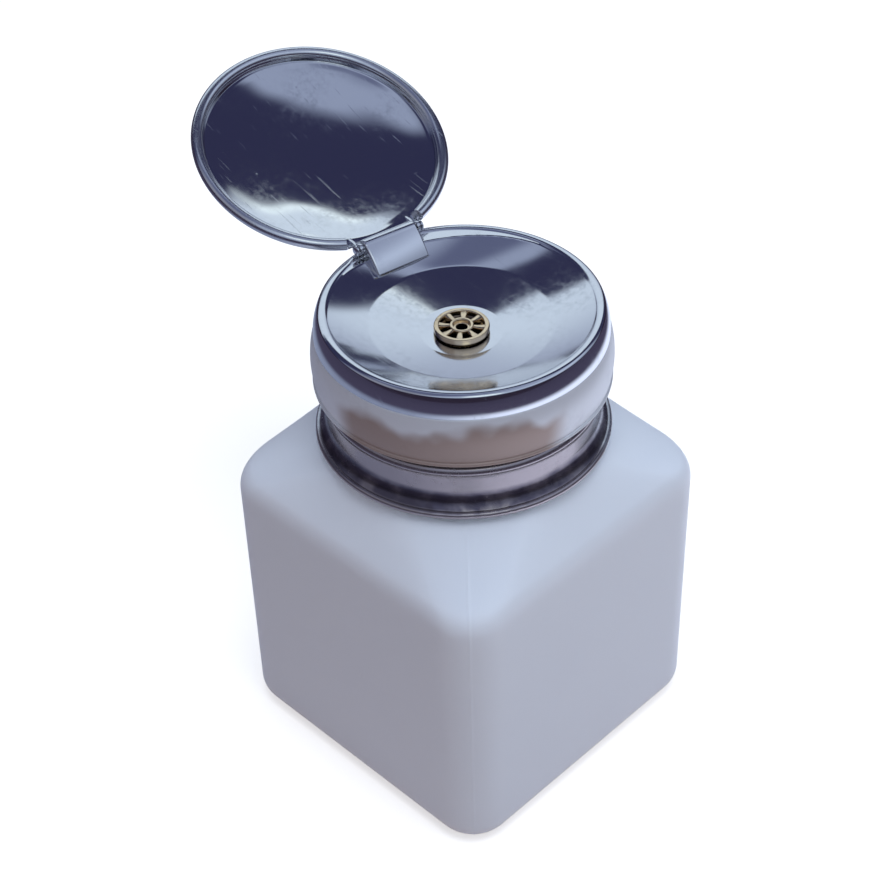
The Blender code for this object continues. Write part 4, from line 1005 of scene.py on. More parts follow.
def make_bottle(sizes, finish):
    outer = bottle_rings(sizes, 0)
    base = outer[0]
    flat_half = max(abs(x) for x, _, _ in base)
    recess = []
    for inset, rise in ((sizes.base_land, 0.0), (sizes.base_land + 0.6 * MILLIMETRE, 0.5),
                        (sizes.base_land + 1.4 * MILLIMETRE, 0.9), (flat_half * 0.55, 1.0)):
        scale = 1 - inset / flat_half
        recess.append([(x * scale, y * scale, sizes.base_recess * rise) for x, y, _ in base])
    recess.append([(0, 0, sizes.base_recess)])
    top = highest("bottle").z
    root = 0.8 * MILLIMETRE
    rim = 0.4 * MILLIMETRE
    neck = arc_about((sizes.neck_radius + root, sizes.shoulder_top + root), root, -90, -180, 6)
    neck += [(sizes.neck_radius, top - rim)]
    neck += arc_about((sizes.neck_radius - rim, top - rim), rim, 0, 90, 5)[1:]
    neck += arc_about((sizes.neck_bore + rim, top - rim), rim, 90, 180, 5)
    inside_top = sizes.shoulder_top - sizes.wall
    neck += [(sizes.neck_bore, inside_top + root), (sizes.neck_bore + root, inside_top)]
    necks = [blended_ring(BOTTLE_HALF, sizes.corner_radius, 1, radius, height)
             for radius, height in neck]
    inner = bottle_rings(sizes, sizes.wall)[::-1]
    mesh = bmesh.new()
    sweep_rings(mesh, recess[::-1] + outer + necks + inner + [[(0, 0, sizes.wall)]])
    bmesh.ops.recalc_face_normals(mesh, faces=mesh.faces)
    raise_seam(mesh, sizes)
    bottle = new_piece("bottle_shell", mesh, milky_plastic(finish))
    return settle(bottle, "bottle", "bottle_plastic", "bottle")


# Geometry nodes, for what repeats or follows a spiral

def geometry_tree(name, inputs):
    """A tree of geometry nodes with (name, kind, default) inputs, and those inputs."""
    tree = bpy.data.node_groups.new(name, 'GeometryNodeTree')
    for label, kind, default in inputs:
        socket = tree.interface.new_socket(label, in_out='INPUT', socket_type=kind)
        if default is not None:
            socket.default_value = default
    tree.interface.new_socket("Geometry", in_out='OUTPUT', socket_type='NodeSocketGeometry')
    return tree, add_node(tree, 'NodeGroupInput').outputs


def hand_out(tree, geometry, finish):
    """End a tree: make its instances real, set their material and pass them on."""
    real = wired(tree, 'GeometryNodeRealizeInstances', {"Geometry": geometry})
    dressed = wired(tree, 'GeometryNodeSetMaterial',
                    {"Geometry": real.outputs["Geometry"], "Material": finish})
    wired(tree, 'NodeGroupOutput', {"Geometry": dressed.outputs["Geometry"]})
    return tree


def spiral_tree(name):
    """Geometry nodes that run a small round profile along a spiral."""
    tree, given = geometry_tree(name, (
        ("Turns", 'NodeSocketFloat', 1.0), ("Radius", 'NodeSocketFloat', 0.01),
        ("Height", 'NodeSocketFloat', 0.003), ("Start Height", 'NodeSocketFloat', 0.0),
        ("Profile Radius", 'NodeSocketFloat', 0.0005),
        ("Finish", 'NodeSocketMaterial', None)))
    spiral = wired(tree, 'GeometryNodeCurveSpiral',
                   {"Resolution": 120, "Rotations": given["Turns"], "Height": given["Height"],
                    "Start Radius": given["Radius"], "End Radius": given["Radius"]})
    profile = wired(tree, 'GeometryNodeCurvePrimitiveCircle',
                    {"Resolution": 12, "Radius": given["Profile Radius"]})
    tube = wired(tree, 'GeometryNodeCurveToMesh',
                 {"Curve": spiral.outputs["Curve"], "Profile Curve": profile.outputs["Curve"],
                  "Fill Caps": True})
    lift = wired(tree, 'ShaderNodeCombineXYZ', {"Z": given["Start Height"]})
    moved = wired(tree, 'GeometryNodeTransform',
                  {"Geometry": tube.outputs["Mesh"], "Translation": lift.outputs["Vector"]})
    smooth = wired(tree, 'GeometryNodeSetShadeSmooth', {"Geometry": moved.outputs["Geometry"]})
    return hand_out(tree, smooth.outputs["Geometry"], given["Finish"])


def spoke_tree():
    """Geometry nodes that set one spoke round the hub as often as asked."""
    tree, given = geometry_tree("spoke_star", (
        ("Count", 'NodeSocketInt', 8), ("Phase", 'NodeSocketFloat', 0.0),
        ("Spoke", 'NodeSocketObject', None), ("Finish", 'NodeSocketMaterial', None)))
    points = wired(tree, 'GeometryNodePoints', {"Count": given["Count"]})
    index = add_node(tree, 'GeometryNodeInputIndex').outputs["Index"]
    part = calculate(tree, 'DIVIDE', index, given["Count"])
    turn = calculate(tree, 'MULTIPLY_ADD', part, math.tau, given["Phase"])
    rotation = wired(tree, 'ShaderNodeCombineXYZ', {"Z": turn})
    spoke = wired(tree, 'GeometryNodeObjectInfo', {"Object": given["Spoke"]})
    copies = wired(tree, 'GeometryNodeInstanceOnPoints',
                   {"Points": points.outputs[0], "Instance": spoke.outputs["Geometry"],
                    "Rotation": rotation.outputs["Vector"]})
    return hand_out(tree, copies.outputs["Instances"], given["Finish"])


def noded_piece(name, tree, values, material):
    """A piece whose plain mesh is what a tree of geometry nodes makes."""
    piece = bpy.data.objects.new(name, bpy.data.meshes.new(name))
    piece.data.materials.append(material)
    bpy.context.scene.collection.objects.link(piece)
    modifier = piece.modifiers.new(tree.name, 'NODES')
    modifier.node_group = tree
    for item in tree.interface.items_tree:
        if item.item_type == 'SOCKET' and item.in_out == 'INPUT' and item.name in values:
            modifier[item.identifier] = values[item.name]
    return plain_mesh_of(piece)


def make_neck_thread(sizes, finish):
    material = milky_plastic(finish)
    bead = 2 * sizes.thread_rise
    turns, lift = 1.4, 1.1 * MILLIMETRE
    values = {"Turns": turns, "Radius": sizes.neck_radius + sizes.thread_rise - bead,
              "Height": turns * sizes.thread_pitch, "Start Height": sizes.shoulder_top + lift,
              "Profile Radius": bead, "Finish": material}
    thread = noded_piece("neck_thread", spiral_tree("spiral_ridge"), values, material)
    return settle(thread, "bottle", "bottle_plastic")


# Collar

def rim_dents(sizes, bottom):
    """Warp of the collar's foot: a hammered stretch and a slight lasting waviness."""
    def warp(radius, turn, height):
        low = 1 - smooth_step(height, bottom + 0.6 * MILLIMETRE,
                              bottom + sizes.flare_height * 0.9)
        degrees = math.degrees(turn) % 360
        stretch = bump(degrees, DENTED_TURN, DENTED_SPREAD)
        lumps = (math.sin(turn * 61) + math.sin(turn * 37 + 1.3) + 0.6 * math.sin(turn * 97))
        slow = math.sin(3 * turn + 0.7) + 0.5 * math.sin(7 * turn)
        shift = sizes.dent_depth * low * (0.28 * stretch * lumps + 0.12 * slow)
        return radius - abs(shift) * 0.6 + shift * 0.4, turn, height + shift * 0.5
    return warp


def make_collar(sizes, finish):
    low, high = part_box("collar")
    rim, bottom, sleeve_top = high.x, low.z, high.z
    radius = rim - sizes.rim_flare
    top = bottom + sizes.height
    bead = (rim - sizes.rim_bead, bottom + sizes.rim_bead)
    flare_top = bottom + sizes.flare_height
    foot = (bead[0] - 0.1 * MILLIMETRE, bead[1] + sizes.rim_bead)
    run, rise = foot[0] - radius, flare_top - foot[1]
    middle = (radius + run * 0.3, foot[1] + rise * 0.35)
    bead_height = top - sizes.top_round
    outer = arc_about(bead, sizes.rim_bead, -170, 82, 20)
    outer += arc_through(foot, middle, (radius, flare_top))
    outer += [(radius, bead_height - sizes.top_round)]
    outer += arc_through((radius, bead_height - sizes.top_round),
                         (radius + sizes.top_bead * 0.55, bead_height - sizes.top_bead * 1.2),
                         (radius + sizes.top_bead, bead_height), 6)[1:]
    shoulder = (bead_height + top) / 2 + 0.1 * MILLIMETRE
    outer += arc_through((radius + sizes.top_bead, bead_height),
                         (radius + sizes.top_bead * 0.2, shoulder),
                         (radius - sizes.top_round / 2, top), 8)[1:]
    sleeve = radius - sizes.sleeve_step
    inner = sleeve - sizes.sheet
    mouth = inner - sizes.sleeve_lip
    root, lip = 0.3 * MILLIMETRE, 0.4 * MILLIMETRE
    outer += arc_about((sleeve + root, top + root), root, -90, -180, 5)
    outer += arc_about((sleeve - lip, sleeve_top - lip), lip, 0, 90, 6)
    outer += [(mouth, sleeve_top)]
    wall = radius - sizes.sheet
    inside = [(mouth, sleeve_top - sizes.sheet), (inner, sleeve_top - sizes.sheet),
              (inner, top - sizes.sheet), (wall, top - sizes.sheet), (wall, flare_top),
              (middle[0] - sizes.sheet, middle[1]), (foot[0] - sizes.sheet, foot[1])]
    collar = turned("screw_collar", outer + inside, collar_steel(finish),
                    warp=rim_dents(sizes, bottom))
    return settle(collar, "collar", "polished_steel", "collar")


# Head

def make_skirt(sizes, finish):
    crease = CREST_HEIGHT - sizes.rim_height
    bottom = crease - sizes.skirt_height
    foot_top = bottom + sizes.foot_round
    foot = arc_through((sizes.skirt_lip, bottom + sizes.skirt_sheet / 2),
                       (sizes.skirt_foot - sizes.foot_round / 2, bottom),
                       (sizes.skirt_foot, foot_top), 10)
    brow = sizes.brow
    bulge = arc_through((sizes.skirt_foot, foot_top),
                        (sizes.skirt_foot + sizes.skirt_belly, bottom + sizes.belly_height),
                        (sizes.crease_radius + brow * 0.2, crease - brow), 36)
    top = arc_about((bulge[-1][0] - brow, crease - brow), brow, 12, 90, 8)
    spigot = sizes.crease_radius - sizes.dish_sheet - 2 * CLEARANCE
    path = foot + bulge[1:] + top + [(spigot, crease), (spigot, highest("head_skirt").z)]
    outline = path + offset_path(path, sizes.skirt_sheet)[::-1]
    skirt = turned("barrel_skirt", outline, skirt_steel(finish))
    return settle(skirt, "head", "polished_steel", "head_skirt")


def climb(reach, run, first, last):
    """Height gained over a reach, where the slope changes evenly across the whole run."""
    reach = max(reach, 0)
    low, high = math.tan(first), math.tan(last)
    return low * reach + (high - low) * reach ** 2 / (2 * run)


def bowl_height(sizes, reach):
    """Height of the bowl at a radius: a flat, a shallow cone and a steeper wall."""
    crest = sizes.crease_radius - sizes.rim_width
    bend = crest - sizes.bowl_wall
    cone = bend - sizes.bowl_flat

    def rise(radius):
        return (climb(min(radius, bend) - sizes.bowl_flat, cone, sizes.cone_start, sizes.cone_end)
                + climb(radius - bend, sizes.bowl_wall, sizes.wall_start, sizes.wall_end))

    return CREST_HEIGHT + rise(reach) - rise(crest)


def make_dish(sizes, finish):
    crease = CREST_HEIGHT - sizes.rim_height
    crest = sizes.crease_radius - sizes.rim_width
    steps = 72
    radii = [sizes.bowl_flat + (crest - sizes.bowl_flat) * step / steps
             for step in range(steps + 1)]
    bowl = [(NOZZLE_HOLE, bowl_height(sizes, 0))]
    bowl += [(radius, bowl_height(sizes, radius)) for radius in radii]
    width = sizes.rim_width
    bead = arc_through((crest, CREST_HEIGHT),
                       (crest + width * 0.29, CREST_HEIGHT + sizes.crest_rise),
                       (crest + width * 0.66, CREST_HEIGHT - sizes.crest_rise * 0.27), 28)
    seat_gap = 0.04 * MILLIMETRE
    side = arc_through(bead[-1], (crest + width * 0.91, CREST_HEIGHT - sizes.rim_height * 0.50),
                       (sizes.crease_radius, crease + seat_gap), 36)
    path = bowl + bead[1:] + side[1:]
    outline = path + offset_path(path, -sizes.dish_sheet)[::-1]
    bend = crest - sizes.bowl_wall
    crest_margin, least_shelf = 0.05 * MILLIMETRE, 0.02 * MILLIMETRE

    def shelf(radius, turn, height):
        """A shelf under the crest, widest by the hinge, that tapers off along the back."""
        degrees = math.degrees(turn) % 360
        shelf_width = sizes.shelf * (smooth_step(degrees, *SHELF_RISE_TURNS)
                                     * (1 - smooth_step(degrees, *SHELF_FALL_TURNS)))
        if radius <= bend or radius > crest - crest_margin or shelf_width < least_shelf:
            return radius, turn, height
        edge = crest - shelf_width
        drop = sizes.shelf_slope * min(shelf_width, crest - radius)
        source = crest
        if radius < edge:
            source = bend + (radius - bend) * sizes.bowl_wall / (edge - bend)
            drop *= (source - bend) / sizes.bowl_wall
        height += bowl_height(sizes, source) - drop - bowl_height(sizes, radius)
        return radius, turn, height

    dish = turned("pad_dish", outline, dish_steel(finish), warp=shelf)
    return settle(dish, "head", "polished_steel", "dish")


# Nozzle

def spoke_shape(sizes, top, inner, outer):
    """One wedge-shaped spoke along X, rounded above and widening towards the ring."""
    mesh = bmesh.new()
    rows = []
    steps = 10
    crown = 0.10 * MILLIMETRE
    for step in range(steps + 1):
        t = step / steps
        reach = inner + (outer - inner) * t
        half = (sizes.spoke_root + (sizes.spoke_tip - sizes.spoke_root) * t) / 2
        high = top - sizes.spoke_sag * math.sin(math.pi * t)
        side = [(half * 0.5, high), (half * 0.88, high - crown * 0.7),
                (half, high - 2 * crown), (half, high - sizes.spoke_depth)]
        section = [(-y, z) for y, z in side[::-1]] + side
        rows.append([(reach, y, z) for y, z in section])
    loft_rings(mesh, rows)
    return mesh


def make_nozzle(sizes, finish):
    low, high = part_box("nozzle_insert")
    flange, top, bottom = sizes.flange_radius, high.z, low.z
    body, spigot = flange - sizes.flange_ledge, sizes.spigot
    chamber = body - sizes.chamber_wall
    ring_inner = flange - sizes.ring_width
    flange_bottom = top - sizes.flange_height
    body_bottom = flange_bottom - sizes.body_length
    floor = body_bottom + sizes.chamber_floor
    step = top - sizes.hub_step
    edge, fine = sizes.edge_round, sizes.fine_round
    undercut, break_height = 0.1 * MILLIMETRE, 0.2 * MILLIMETRE
    hub_overlap, ring_overlap = 0.4 * MILLIMETRE, 0.2 * MILLIMETRE
    outline = softened([
        (sizes.hub_bore, bottom, fine), (spigot, bottom, fine), (spigot, body_bottom, 0),
        (body, body_bottom, edge), (body, flange_bottom, 0), (flange, flange_bottom, fine),
        (flange, top, edge * 1.3), (ring_inner, top, edge),
        (ring_inner - undercut, flange_bottom, 0), (chamber, flange_bottom - break_height, 0),
        (chamber, floor, 0), (sizes.hub_radius, floor, 0), (sizes.hub_radius, top, edge),
        (sizes.counterbore, top, edge), (sizes.counterbore, step, 0),
        (sizes.hub_bore, step, fine)], 5)
    brass = turned_brass(finish)
    nozzle = turned("spoked_nozzle", outline, brass, SMALL_FACETS)
    settle(nozzle, "head", "brass", "nozzle_insert")
    shape = spoke_shape(sizes, top - sizes.spoke_sink, sizes.hub_radius - hub_overlap,
                        ring_inner + ring_overlap)
    pattern = new_piece("spoke_pattern", shape, brass)
    values = {"Count": sizes.spokes, "Phase": sizes.phase, "Spoke": pattern, "Finish": brass}
    star = noded_piece("nozzle_spokes", spoke_tree(), values, brass)
    bpy.data.objects.remove(pattern, do_unlink=True)
    return settle(star, "head", "brass")


# Hinge
# In the hinge's own frame x points outwards, y runs along the pin and z is up.

def hinge_place(tilt=0.0):
    """Matrix from the hinge's own frame to the bottle's."""
    pin = Vector(HINGE["pos_m"])
    turn = math.atan2(pin.y, pin.x)
    return (Matrix.Translation(pin) @ Matrix.Rotation(turn, 4, 'Z')
            @ Matrix.Rotation(tilt, 4, 'Y'))


def along_pin(x, z, y):
    """Place a point of a side-view outline, extruded along the pin."""
    return (x, y, z)


def bracket_path(sizes, seat, steps=28):
    """Upper face of the plate in side view: from its foot in a slope to the curl on the pin."""
    foot = (-sizes.run, seat(-sizes.run, sizes.width / 2) + sizes.sheet)
    toward_foot = math.atan2(foot[1], foot[0]) % math.tau
    touch = toward_foot - math.acos(sizes.curl_radius / math.hypot(*foot))
    curl = arc_about((0, 0), sizes.curl_radius, math.degrees(touch),
                     math.degrees(sizes.curl_end), steps)
    run, rise = curl[0][0] - foot[0], curl[0][1] - foot[1]
    lean = sizes.bow / math.hypot(run, rise)
    middle = (foot[0] + run / 2 - rise * lean, foot[1] + rise / 2 + run * lean)
    return arc_through(foot, middle, curl[0], steps)[:-1] + curl


def make_bracket(sizes, head, finish):
    """Channel of sheet: plate curled over the pin, folded sides with eyes, feet on the bowl."""
    reach = math.hypot(HINGE["pos_m"][0], HINGE["pos_m"][1])
    half = sizes.width / 2
    inset = 0.01 * MILLIMETRE

    def seat(x, y, lift=sizes.foot_gap):
        return bowl_height(head, math.hypot(reach + x, y)) + lift - HINGE["pos_m"][2]

    path = bracket_path(sizes, seat)
    arc = [math.pi / 2 * step / 6 for step in range(7)]
    over = [(half - sizes.bend + sizes.bend * math.sin(a), sizes.bend * (1 - math.cos(a)))
            for a in arc] + [(half, sizes.sheet + sizes.tuck)]
    under = [(half - sizes.sheet * 0.8, sizes.sheet + sizes.tuck),
             (half - sizes.sheet, sizes.sheet)]
    side = over + under
    section = [(-y, deep) for y, deep in side[::-1]] + side
    rows = [offset_path(path, -deep) for _, deep in section]
    rings = [[(row[step][0], y, row[step][1]) for (y, _), row in zip(section, rows)]
             for step in range(len(path))]
    mesh = bmesh.new()
    loft_rings(mesh, rings)
    runs = [-sizes.run + sizes.run * 0.7 * step / 6 for step in range(7)]
    sole = [(x, seat(x, half)) for x in runs]
    eye = arc_about((0, 0), sizes.eye_radius, -100, math.degrees(sizes.curl_end), 24)
    wall = sole + eye + offset_path(path, -sizes.bend)[::-1]
    for low, high in ((inset - half, sizes.sheet - half), (half - sizes.sheet, half - inset)):
        add_eye_plate(mesh, wall, sizes.eye_hole, along_pin, low, high)
    for hand in (-1, 1):
        rings = []
        for x in [-sizes.run + sizes.run * 0.74 * step / 10 for step in range(11)]:
            narrowed = smooth_step(x, sizes.foot_taper_start, sizes.foot_taper_end)
            across = [half - sizes.sheet, half + sizes.foot_width * 0.5,
                      half + sizes.foot_width * (1 - narrowed)]
            ring = [(x, hand * y, seat(x, y)) for y in across]
            ring += [(x, hand * y, seat(x, y, sizes.foot_sheet)) for y in across[::-1]]
            rings.append(ring)
        loft_rings(mesh, rings)
    soften_edges(mesh, EDGE_BREAK)
    mesh.transform(hinge_place())
    bracket = new_piece("hinge_bracket_fold", mesh, hinge_steel(finish))
    return settle(bracket, "head", "polished_steel", "hinge_bracket")


def make_pin(sizes, lid, finish):
    face = sizes.width / 2 + 2 * CLEARANCE + lid.sheet
    tip = face + sizes.pin_head_length
    dome = arc_through((0, tip), (sizes.pin_head * 0.7, tip - 0.08 * MILLIMETRE),
                       (sizes.pin_head, tip - 0.28 * MILLIMETRE), 8)
    half = [(0, tip)] + dome[1:] + [(sizes.pin_head, face), (sizes.pin_radius, face)]
    outline = half + [(x, -y) for x, y in half[::-1]]
    mesh = turned_mesh(outline, 48)
    mesh.transform(hinge_place() @ Matrix.Rotation(-math.pi / 2, 4, 'X'))
    pin = new_piece("hinge_pin_turned", mesh, hinge_steel(finish))
    return settle(pin, "head", "polished_steel", "hinge_pin")


# Lid
# Modelled closed in the hinge's frame, then turned open about the pin.

def lid_edge(sizes, turn):
    """Radius of the rim and fullness of its bead, at a turn away from the hinge."""
    tab = (sizes.centre_reach - sizes.tab_inset) / max(math.cos(turn), 0.1)
    aside = abs(sizes.radius * math.sin(turn)) if math.cos(turn) > 0 else sizes.radius
    full = smooth_step(aside, sizes.notch_half - 0.1 * MILLIMETRE,
                       sizes.notch_half + 0.5 * MILLIMETRE)
    return min(tab, sizes.radius) * (1 - full) + sizes.radius * full, full


def panel_wave(sizes, x, y):
    """Unevenness of the pressed panel, strongest along its edge towards the hinge."""
    out = math.hypot(x, y) / sizes.radius
    edge = smooth_step(out, 0.45, 0.8)
    waves = math.sin(420 * y + 0.8) + 0.6 * math.sin(260 * y - 500 * x + 2.0)
    return sizes.wave * edge * waves


def lid_section(sizes, turn):
    """Closed half section of the lid at one turn: under the panel, bead, and top."""
    edge, fullness = lid_edge(sizes, turn)
    half_sheet = sizes.sheet / 2
    bead = half_sheet + (sizes.bead - half_sheet) * fullness
    under = sizes.bead_lift + sizes.recess
    lift = under + half_sheet + (sizes.bead_lift - under - half_sheet) * fullness
    centre = edge - bead
    panel = sizes.radius - 2 * sizes.bead - sizes.cove

    def dome(reach):
        return under + sizes.dome_rise * (1 - (reach / panel) ** 2)

    steps = 40
    inside = [(panel * step / steps, dome(panel * step / steps)) for step in range(steps + 1)]
    cove = []
    cove_steps = 8
    for step in range(1, cove_steps):
        t = step / cove_steps
        level = lift if fullness > 0.5 else lift - half_sheet
        cove.append((panel + (centre - bead - panel) * t,
                     under + (level - under) * smooth_step(t, 0.15, 1)))
    curl = arc_about((centre, lift), bead, 180, 450, 30)
    top = [(x, z + sizes.sheet) for x, z in inside[::-1]]
    return inside + cove + curl + top


def lid_turns():
    """Turns of the lid's sections: fine ones by the hinge, coarser ones elsewhere."""
    fine, reach, coarse = math.radians(0.3), math.radians(27), math.radians(1.5)
    turns = [-reach + fine * step for step in range(round(2 * reach / fine))]
    rest = math.tau - 2 * reach
    return turns + [reach + rest * step / round(rest / coarse)
                    for step in range(round(rest / coarse))]


def make_lid(sizes, hinge, finish):
    columns = [(turn, lid_section(sizes, turn)) for turn in lid_turns()]
    rings = []
    for row in range(len(columns[0][1])):
        ring = []
        for turn, section in columns:
            reach, height = section[row]
            x, y = reach * math.cos(turn), reach * math.sin(turn)
            if reach < sizes.radius * 0.86:
                height += panel_wave(sizes, x, y)
            ring.append((x - sizes.centre_reach, y, height))
        rings.append(ring if columns[0][1][row][0] > 0 else
                     [(-sizes.centre_reach, 0, columns[0][1][row][1])])
    mesh = bmesh.new()
    sweep_rings(mesh, rings)
    level = sizes.bead_lift + sizes.recess
    eye = arc_about((0, 0), hinge.eye_radius, -180, 90, 30)
    ear = eye + [(-sizes.tab_inset, level + sizes.sheet / 2),
                 (-sizes.notch_depth, level + sizes.sheet / 2), (-sizes.notch_depth, level)]
    inner = hinge.width / 2 + CLEARANCE
    for low, high in ((-inner - sizes.sheet, -inner), (inner, inner + sizes.sheet)):
        ears = bmesh.new()
        add_eye_plate(ears, ear, hinge.eye_hole, along_pin, low, high)
        soften_edges(ears, EDGE_BREAK)
        plate = bpy.data.meshes.new("lid_ear")
        ears.to_mesh(plate)
        ears.free()
        mesh.from_mesh(plate)
        bpy.data.meshes.remove(plate)
    mesh.transform(hinge_place(sizes.open_angle))
    lid = new_piece("flip_lid", mesh, lid_steel(finish, sizes))
    return settle(lid, "lid", "polished_steel", "lid")


# Inner pieces, seen when the pump is lifted out

def fine_liner(sizes, finish):
    low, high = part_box("thread_liner")
    bore, outer, wall = sizes.liner_bore, high.x, sizes.liner_wall
    foot, top, web = low.z, high.z, high.z - sizes.liner_web
    mouth, lip = sizes.liner_mouth, top - sizes.liner_lip
    edge, mouth_edge = sizes.moulded_round, 0.2 * MILLIMETRE
    outline = softened([
        (mouth, lip, mouth_edge), (bore, lip, 0), (bore, foot, edge), (bore + wall, foot, edge),
        (bore + wall, web, edge), (outer - wall, web, edge), (outer - wall, foot, edge),
        (outer, foot, edge), (outer, top, edge), (mouth, top, mouth_edge)])
    liner = turned("liner_moulding", outline, white_moulding(finish), SMALL_FACETS * 2)
    return settle(liner, "collar", "white_moulding", "thread_liner")


def fine_liner_thread(sizes, thread, finish):
    bead = 2 * thread.thread_rise
    material = white_moulding(finish)
    turns = 1.3
    values = {"Turns": turns, "Radius": sizes.liner_bore - thread.thread_rise + bead,
              "Height": turns * thread.thread_pitch,
              "Start Height": lowest("thread_liner").z + sizes.thread_lift,
              "Profile Radius": bead, "Finish": material}
    ridge = noded_piece("liner_thread", bpy.data.node_groups["spiral_ridge"], values, material)
    return settle(ridge, "collar", "white_moulding")


def fine_cylinder(sizes, finish):
    low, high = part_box("pump_cylinder")
    flange, flange_top, flange_foot = high.x, high.z, high.z - sizes.flange
    bore, body = sizes.bore, sizes.bore + sizes.wall
    shelf = SHELF_HEIGHT
    seat = shelf - sizes.pocket_depth
    socket_top = seat - sizes.seat_web
    tail = sizes.socket + sizes.socket_wall
    fine = sizes.fine_round
    outline = softened([
        (flange, flange_foot, fine), (flange, flange_top, fine), (bore, flange_top, 0),
        (bore, shelf, 0), (sizes.pocket, shelf, 0), (sizes.pocket, seat, 0),
        (sizes.seat, seat, 0), (sizes.seat, socket_top, 0), (sizes.socket, socket_top, 0),
        (sizes.socket, low.z, fine), (tail, low.z, fine), (tail, socket_top, sizes.neck_round),
        (body, shelf - sizes.wall, sizes.neck_round), (body, flange_foot, sizes.flange_round)])
    cylinder = turned("cylinder_moulding", outline, white_moulding(finish), SMALL_FACETS)
    return settle(cylinder, "pump", "white_moulding", "pump_cylinder")


def fine_spring(sizes, finish):
    """The return spring as a wound wire."""
    low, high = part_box("return_spring")
    wire = sizes.wire
    material = spring_steel(finish)
    values = {"Turns": sizes.curls, "Radius": sizes.spring_radius,
              "Height": high.z - low.z - 2 * wire,
              "Start Height": low.z + wire, "Profile Radius": wire, "Finish": material}
    spring = noded_piece("wound_spring", bpy.data.node_groups["spiral_ridge"], values, material)
    settle(spring, "pump", "spring_steel", "return_spring")
    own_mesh(spring)
    return spring


def fine_tube(sizes, finish):
    """Straight tube whose lower end is cut at a slant."""
    low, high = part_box("dip_tube")
    radius, inner = high.x, high.x - sizes.tube_wall
    outline = softened([(inner, low.z, 0), (radius, low.z, 0),
                        (radius, high.z, sizes.tube_round), (inner, high.z, sizes.tube_round)])
    mesh = turned_mesh(outline, 64)
    middle = (low.z + high.z) / 2
    for vertex in mesh.verts:
        if vertex.co.z < middle:
            vertex.co.z += (vertex.co.x + radius) * sizes.tube_slant
    tube = new_piece("clear_tube", mesh, tube_plastic(finish))
    return settle(tube, "pump", "tube_plastic", "dip_tube")


def dress_nodes(finish):
    """Give every CAD node that still shows its own finish."""
    rubber, white = black_rubber(finish), white_moulding(finish)
    wire, brass = spring_steel(finish), turned_brass(finish)
    finishes = {"neck_gasket": rubber, "piston_seal": rubber, "nozzle_washer": rubber,
                "stem_guide": white, "ball_retainer": white, "piston": white,
                "foot_ball": wire, "discharge_ball": wire,
                "stem": brass, "nozzle_nut": brass}
    for node, material in finishes.items():
        slots = frame["nodes"][node].data.materials
        slots.clear()
        slots.append(material)


# Stage

def view_axes(settings):
    """Right, up and back of the camera in the bottle's frame."""
    back = Vector((math.sin(settings.azimuth) * math.cos(settings.elevation),
                   -math.cos(settings.azimuth) * math.cos(settings.elevation),
                   math.sin(settings.elevation)))
    right = Vector((math.cos(settings.azimuth), math.sin(settings.azimuth), 0))
    up = back.cross(right)
    turn = Matrix.Rotation(settings.roll, 3, back)
    return turn @ right, turn @ up, back


def make_camera(settings):
    right, up, back = view_axes(settings)
    data = bpy.data.cameras.new("view_camera")
    data.sensor_width = 36
    data.lens = settings.lens
    data.clip_start = 0.01
    camera = bpy.data.objects.new("view_camera", data)
    bpy.context.scene.collection.objects.link(camera)
    aim = Vector((0, 0, settings.aim_height)) + right * settings.aim_right + up * settings.aim_up
    place = Matrix((right, up, back)).transposed().to_4x4()
    place.translation = aim + back * settings.distance
    camera.matrix_world = place
    bpy.context.scene.camera = camera
    return camera


def heading(degrees, elevation=0.0):
    """Unit direction by azimuth from +X and elevation, in degrees."""
    a, e = math.radians(degrees), math.radians(elevation)
    return Vector((math.cos(a) * math.cos(e), math.sin(a) * math.cos(e), math.sin(e)))


# The room that the metal mirrors. A ray of length 1 is told by its height, its depth into
# the picture and its reach across it, and each between() is the soft edge of one part.

def window_light(settings):
    return [part * settings.window_glow for part in settings.window]


def far_wall_parts(tree, height, depth, across):
    """How far a ray lies on the far wall, and how far in the window of that wall."""
    top_rise, top_fall, foot_fall, foot_drop, corner_share = 1.45, -0.46, -0.55, 0.12, 0.445
    aside = calculate(tree, 'ABSOLUTE', across)
    top = calculate(tree, 'MULTIPLY_ADD', depth, top_rise, product(tree, aside, top_fall))
    under = calculate(tree, 'SUBTRACT', top, height)
    foot = calculate(tree, 'MULTIPLY_ADD', aside, foot_fall,
                     calculate(tree, 'ADD', height, foot_drop))
    corner = calculate(tree, 'SUBTRACT', product(tree, depth, corner_share), across)
    wall = product(tree, between(tree, under, -0.03, 0.03), between(tree, foot, -0.05, 0.06),
                   between(tree, corner, -0.04, 0.04))
    window = product(tree, between(tree, height, 0.66, 0.71), between(tree, across, 0.00, 0.10),
                     between(tree, under, 0.085, 0.035, 0.15, 1.0))
    return wall, window


def far_wall_tone(tree, height, window, settings):
    tone = mix(tree, between(tree, height, 0.0, 0.58), settings.far_wall_low,
               settings.far_wall)
    return mix(tree, window, tone, window_light(settings))


def ceiling_tone(tree, height, depth, settings):
    """Dark ahead, with a pale band before the dim stretch straight above."""
    pale = product(tree, between(tree, depth, 0.30, 0.23), between(tree, height, 0.80, 0.90))
    tone = mix(tree, pale, settings.ceiling, settings.right_ceiling)
    return mix(tree, between(tree, depth, 0.17, 0.05), tone, settings.zenith)


def right_wall_tone(tree, height, settings):
    tone = mix(tree, between(tree, height, 0.40, 0.68), settings.right_wall_low,
               settings.right_wall)
    return mix(tree, between(tree, height, 0.62, 0.85), tone, settings.right_ceiling)


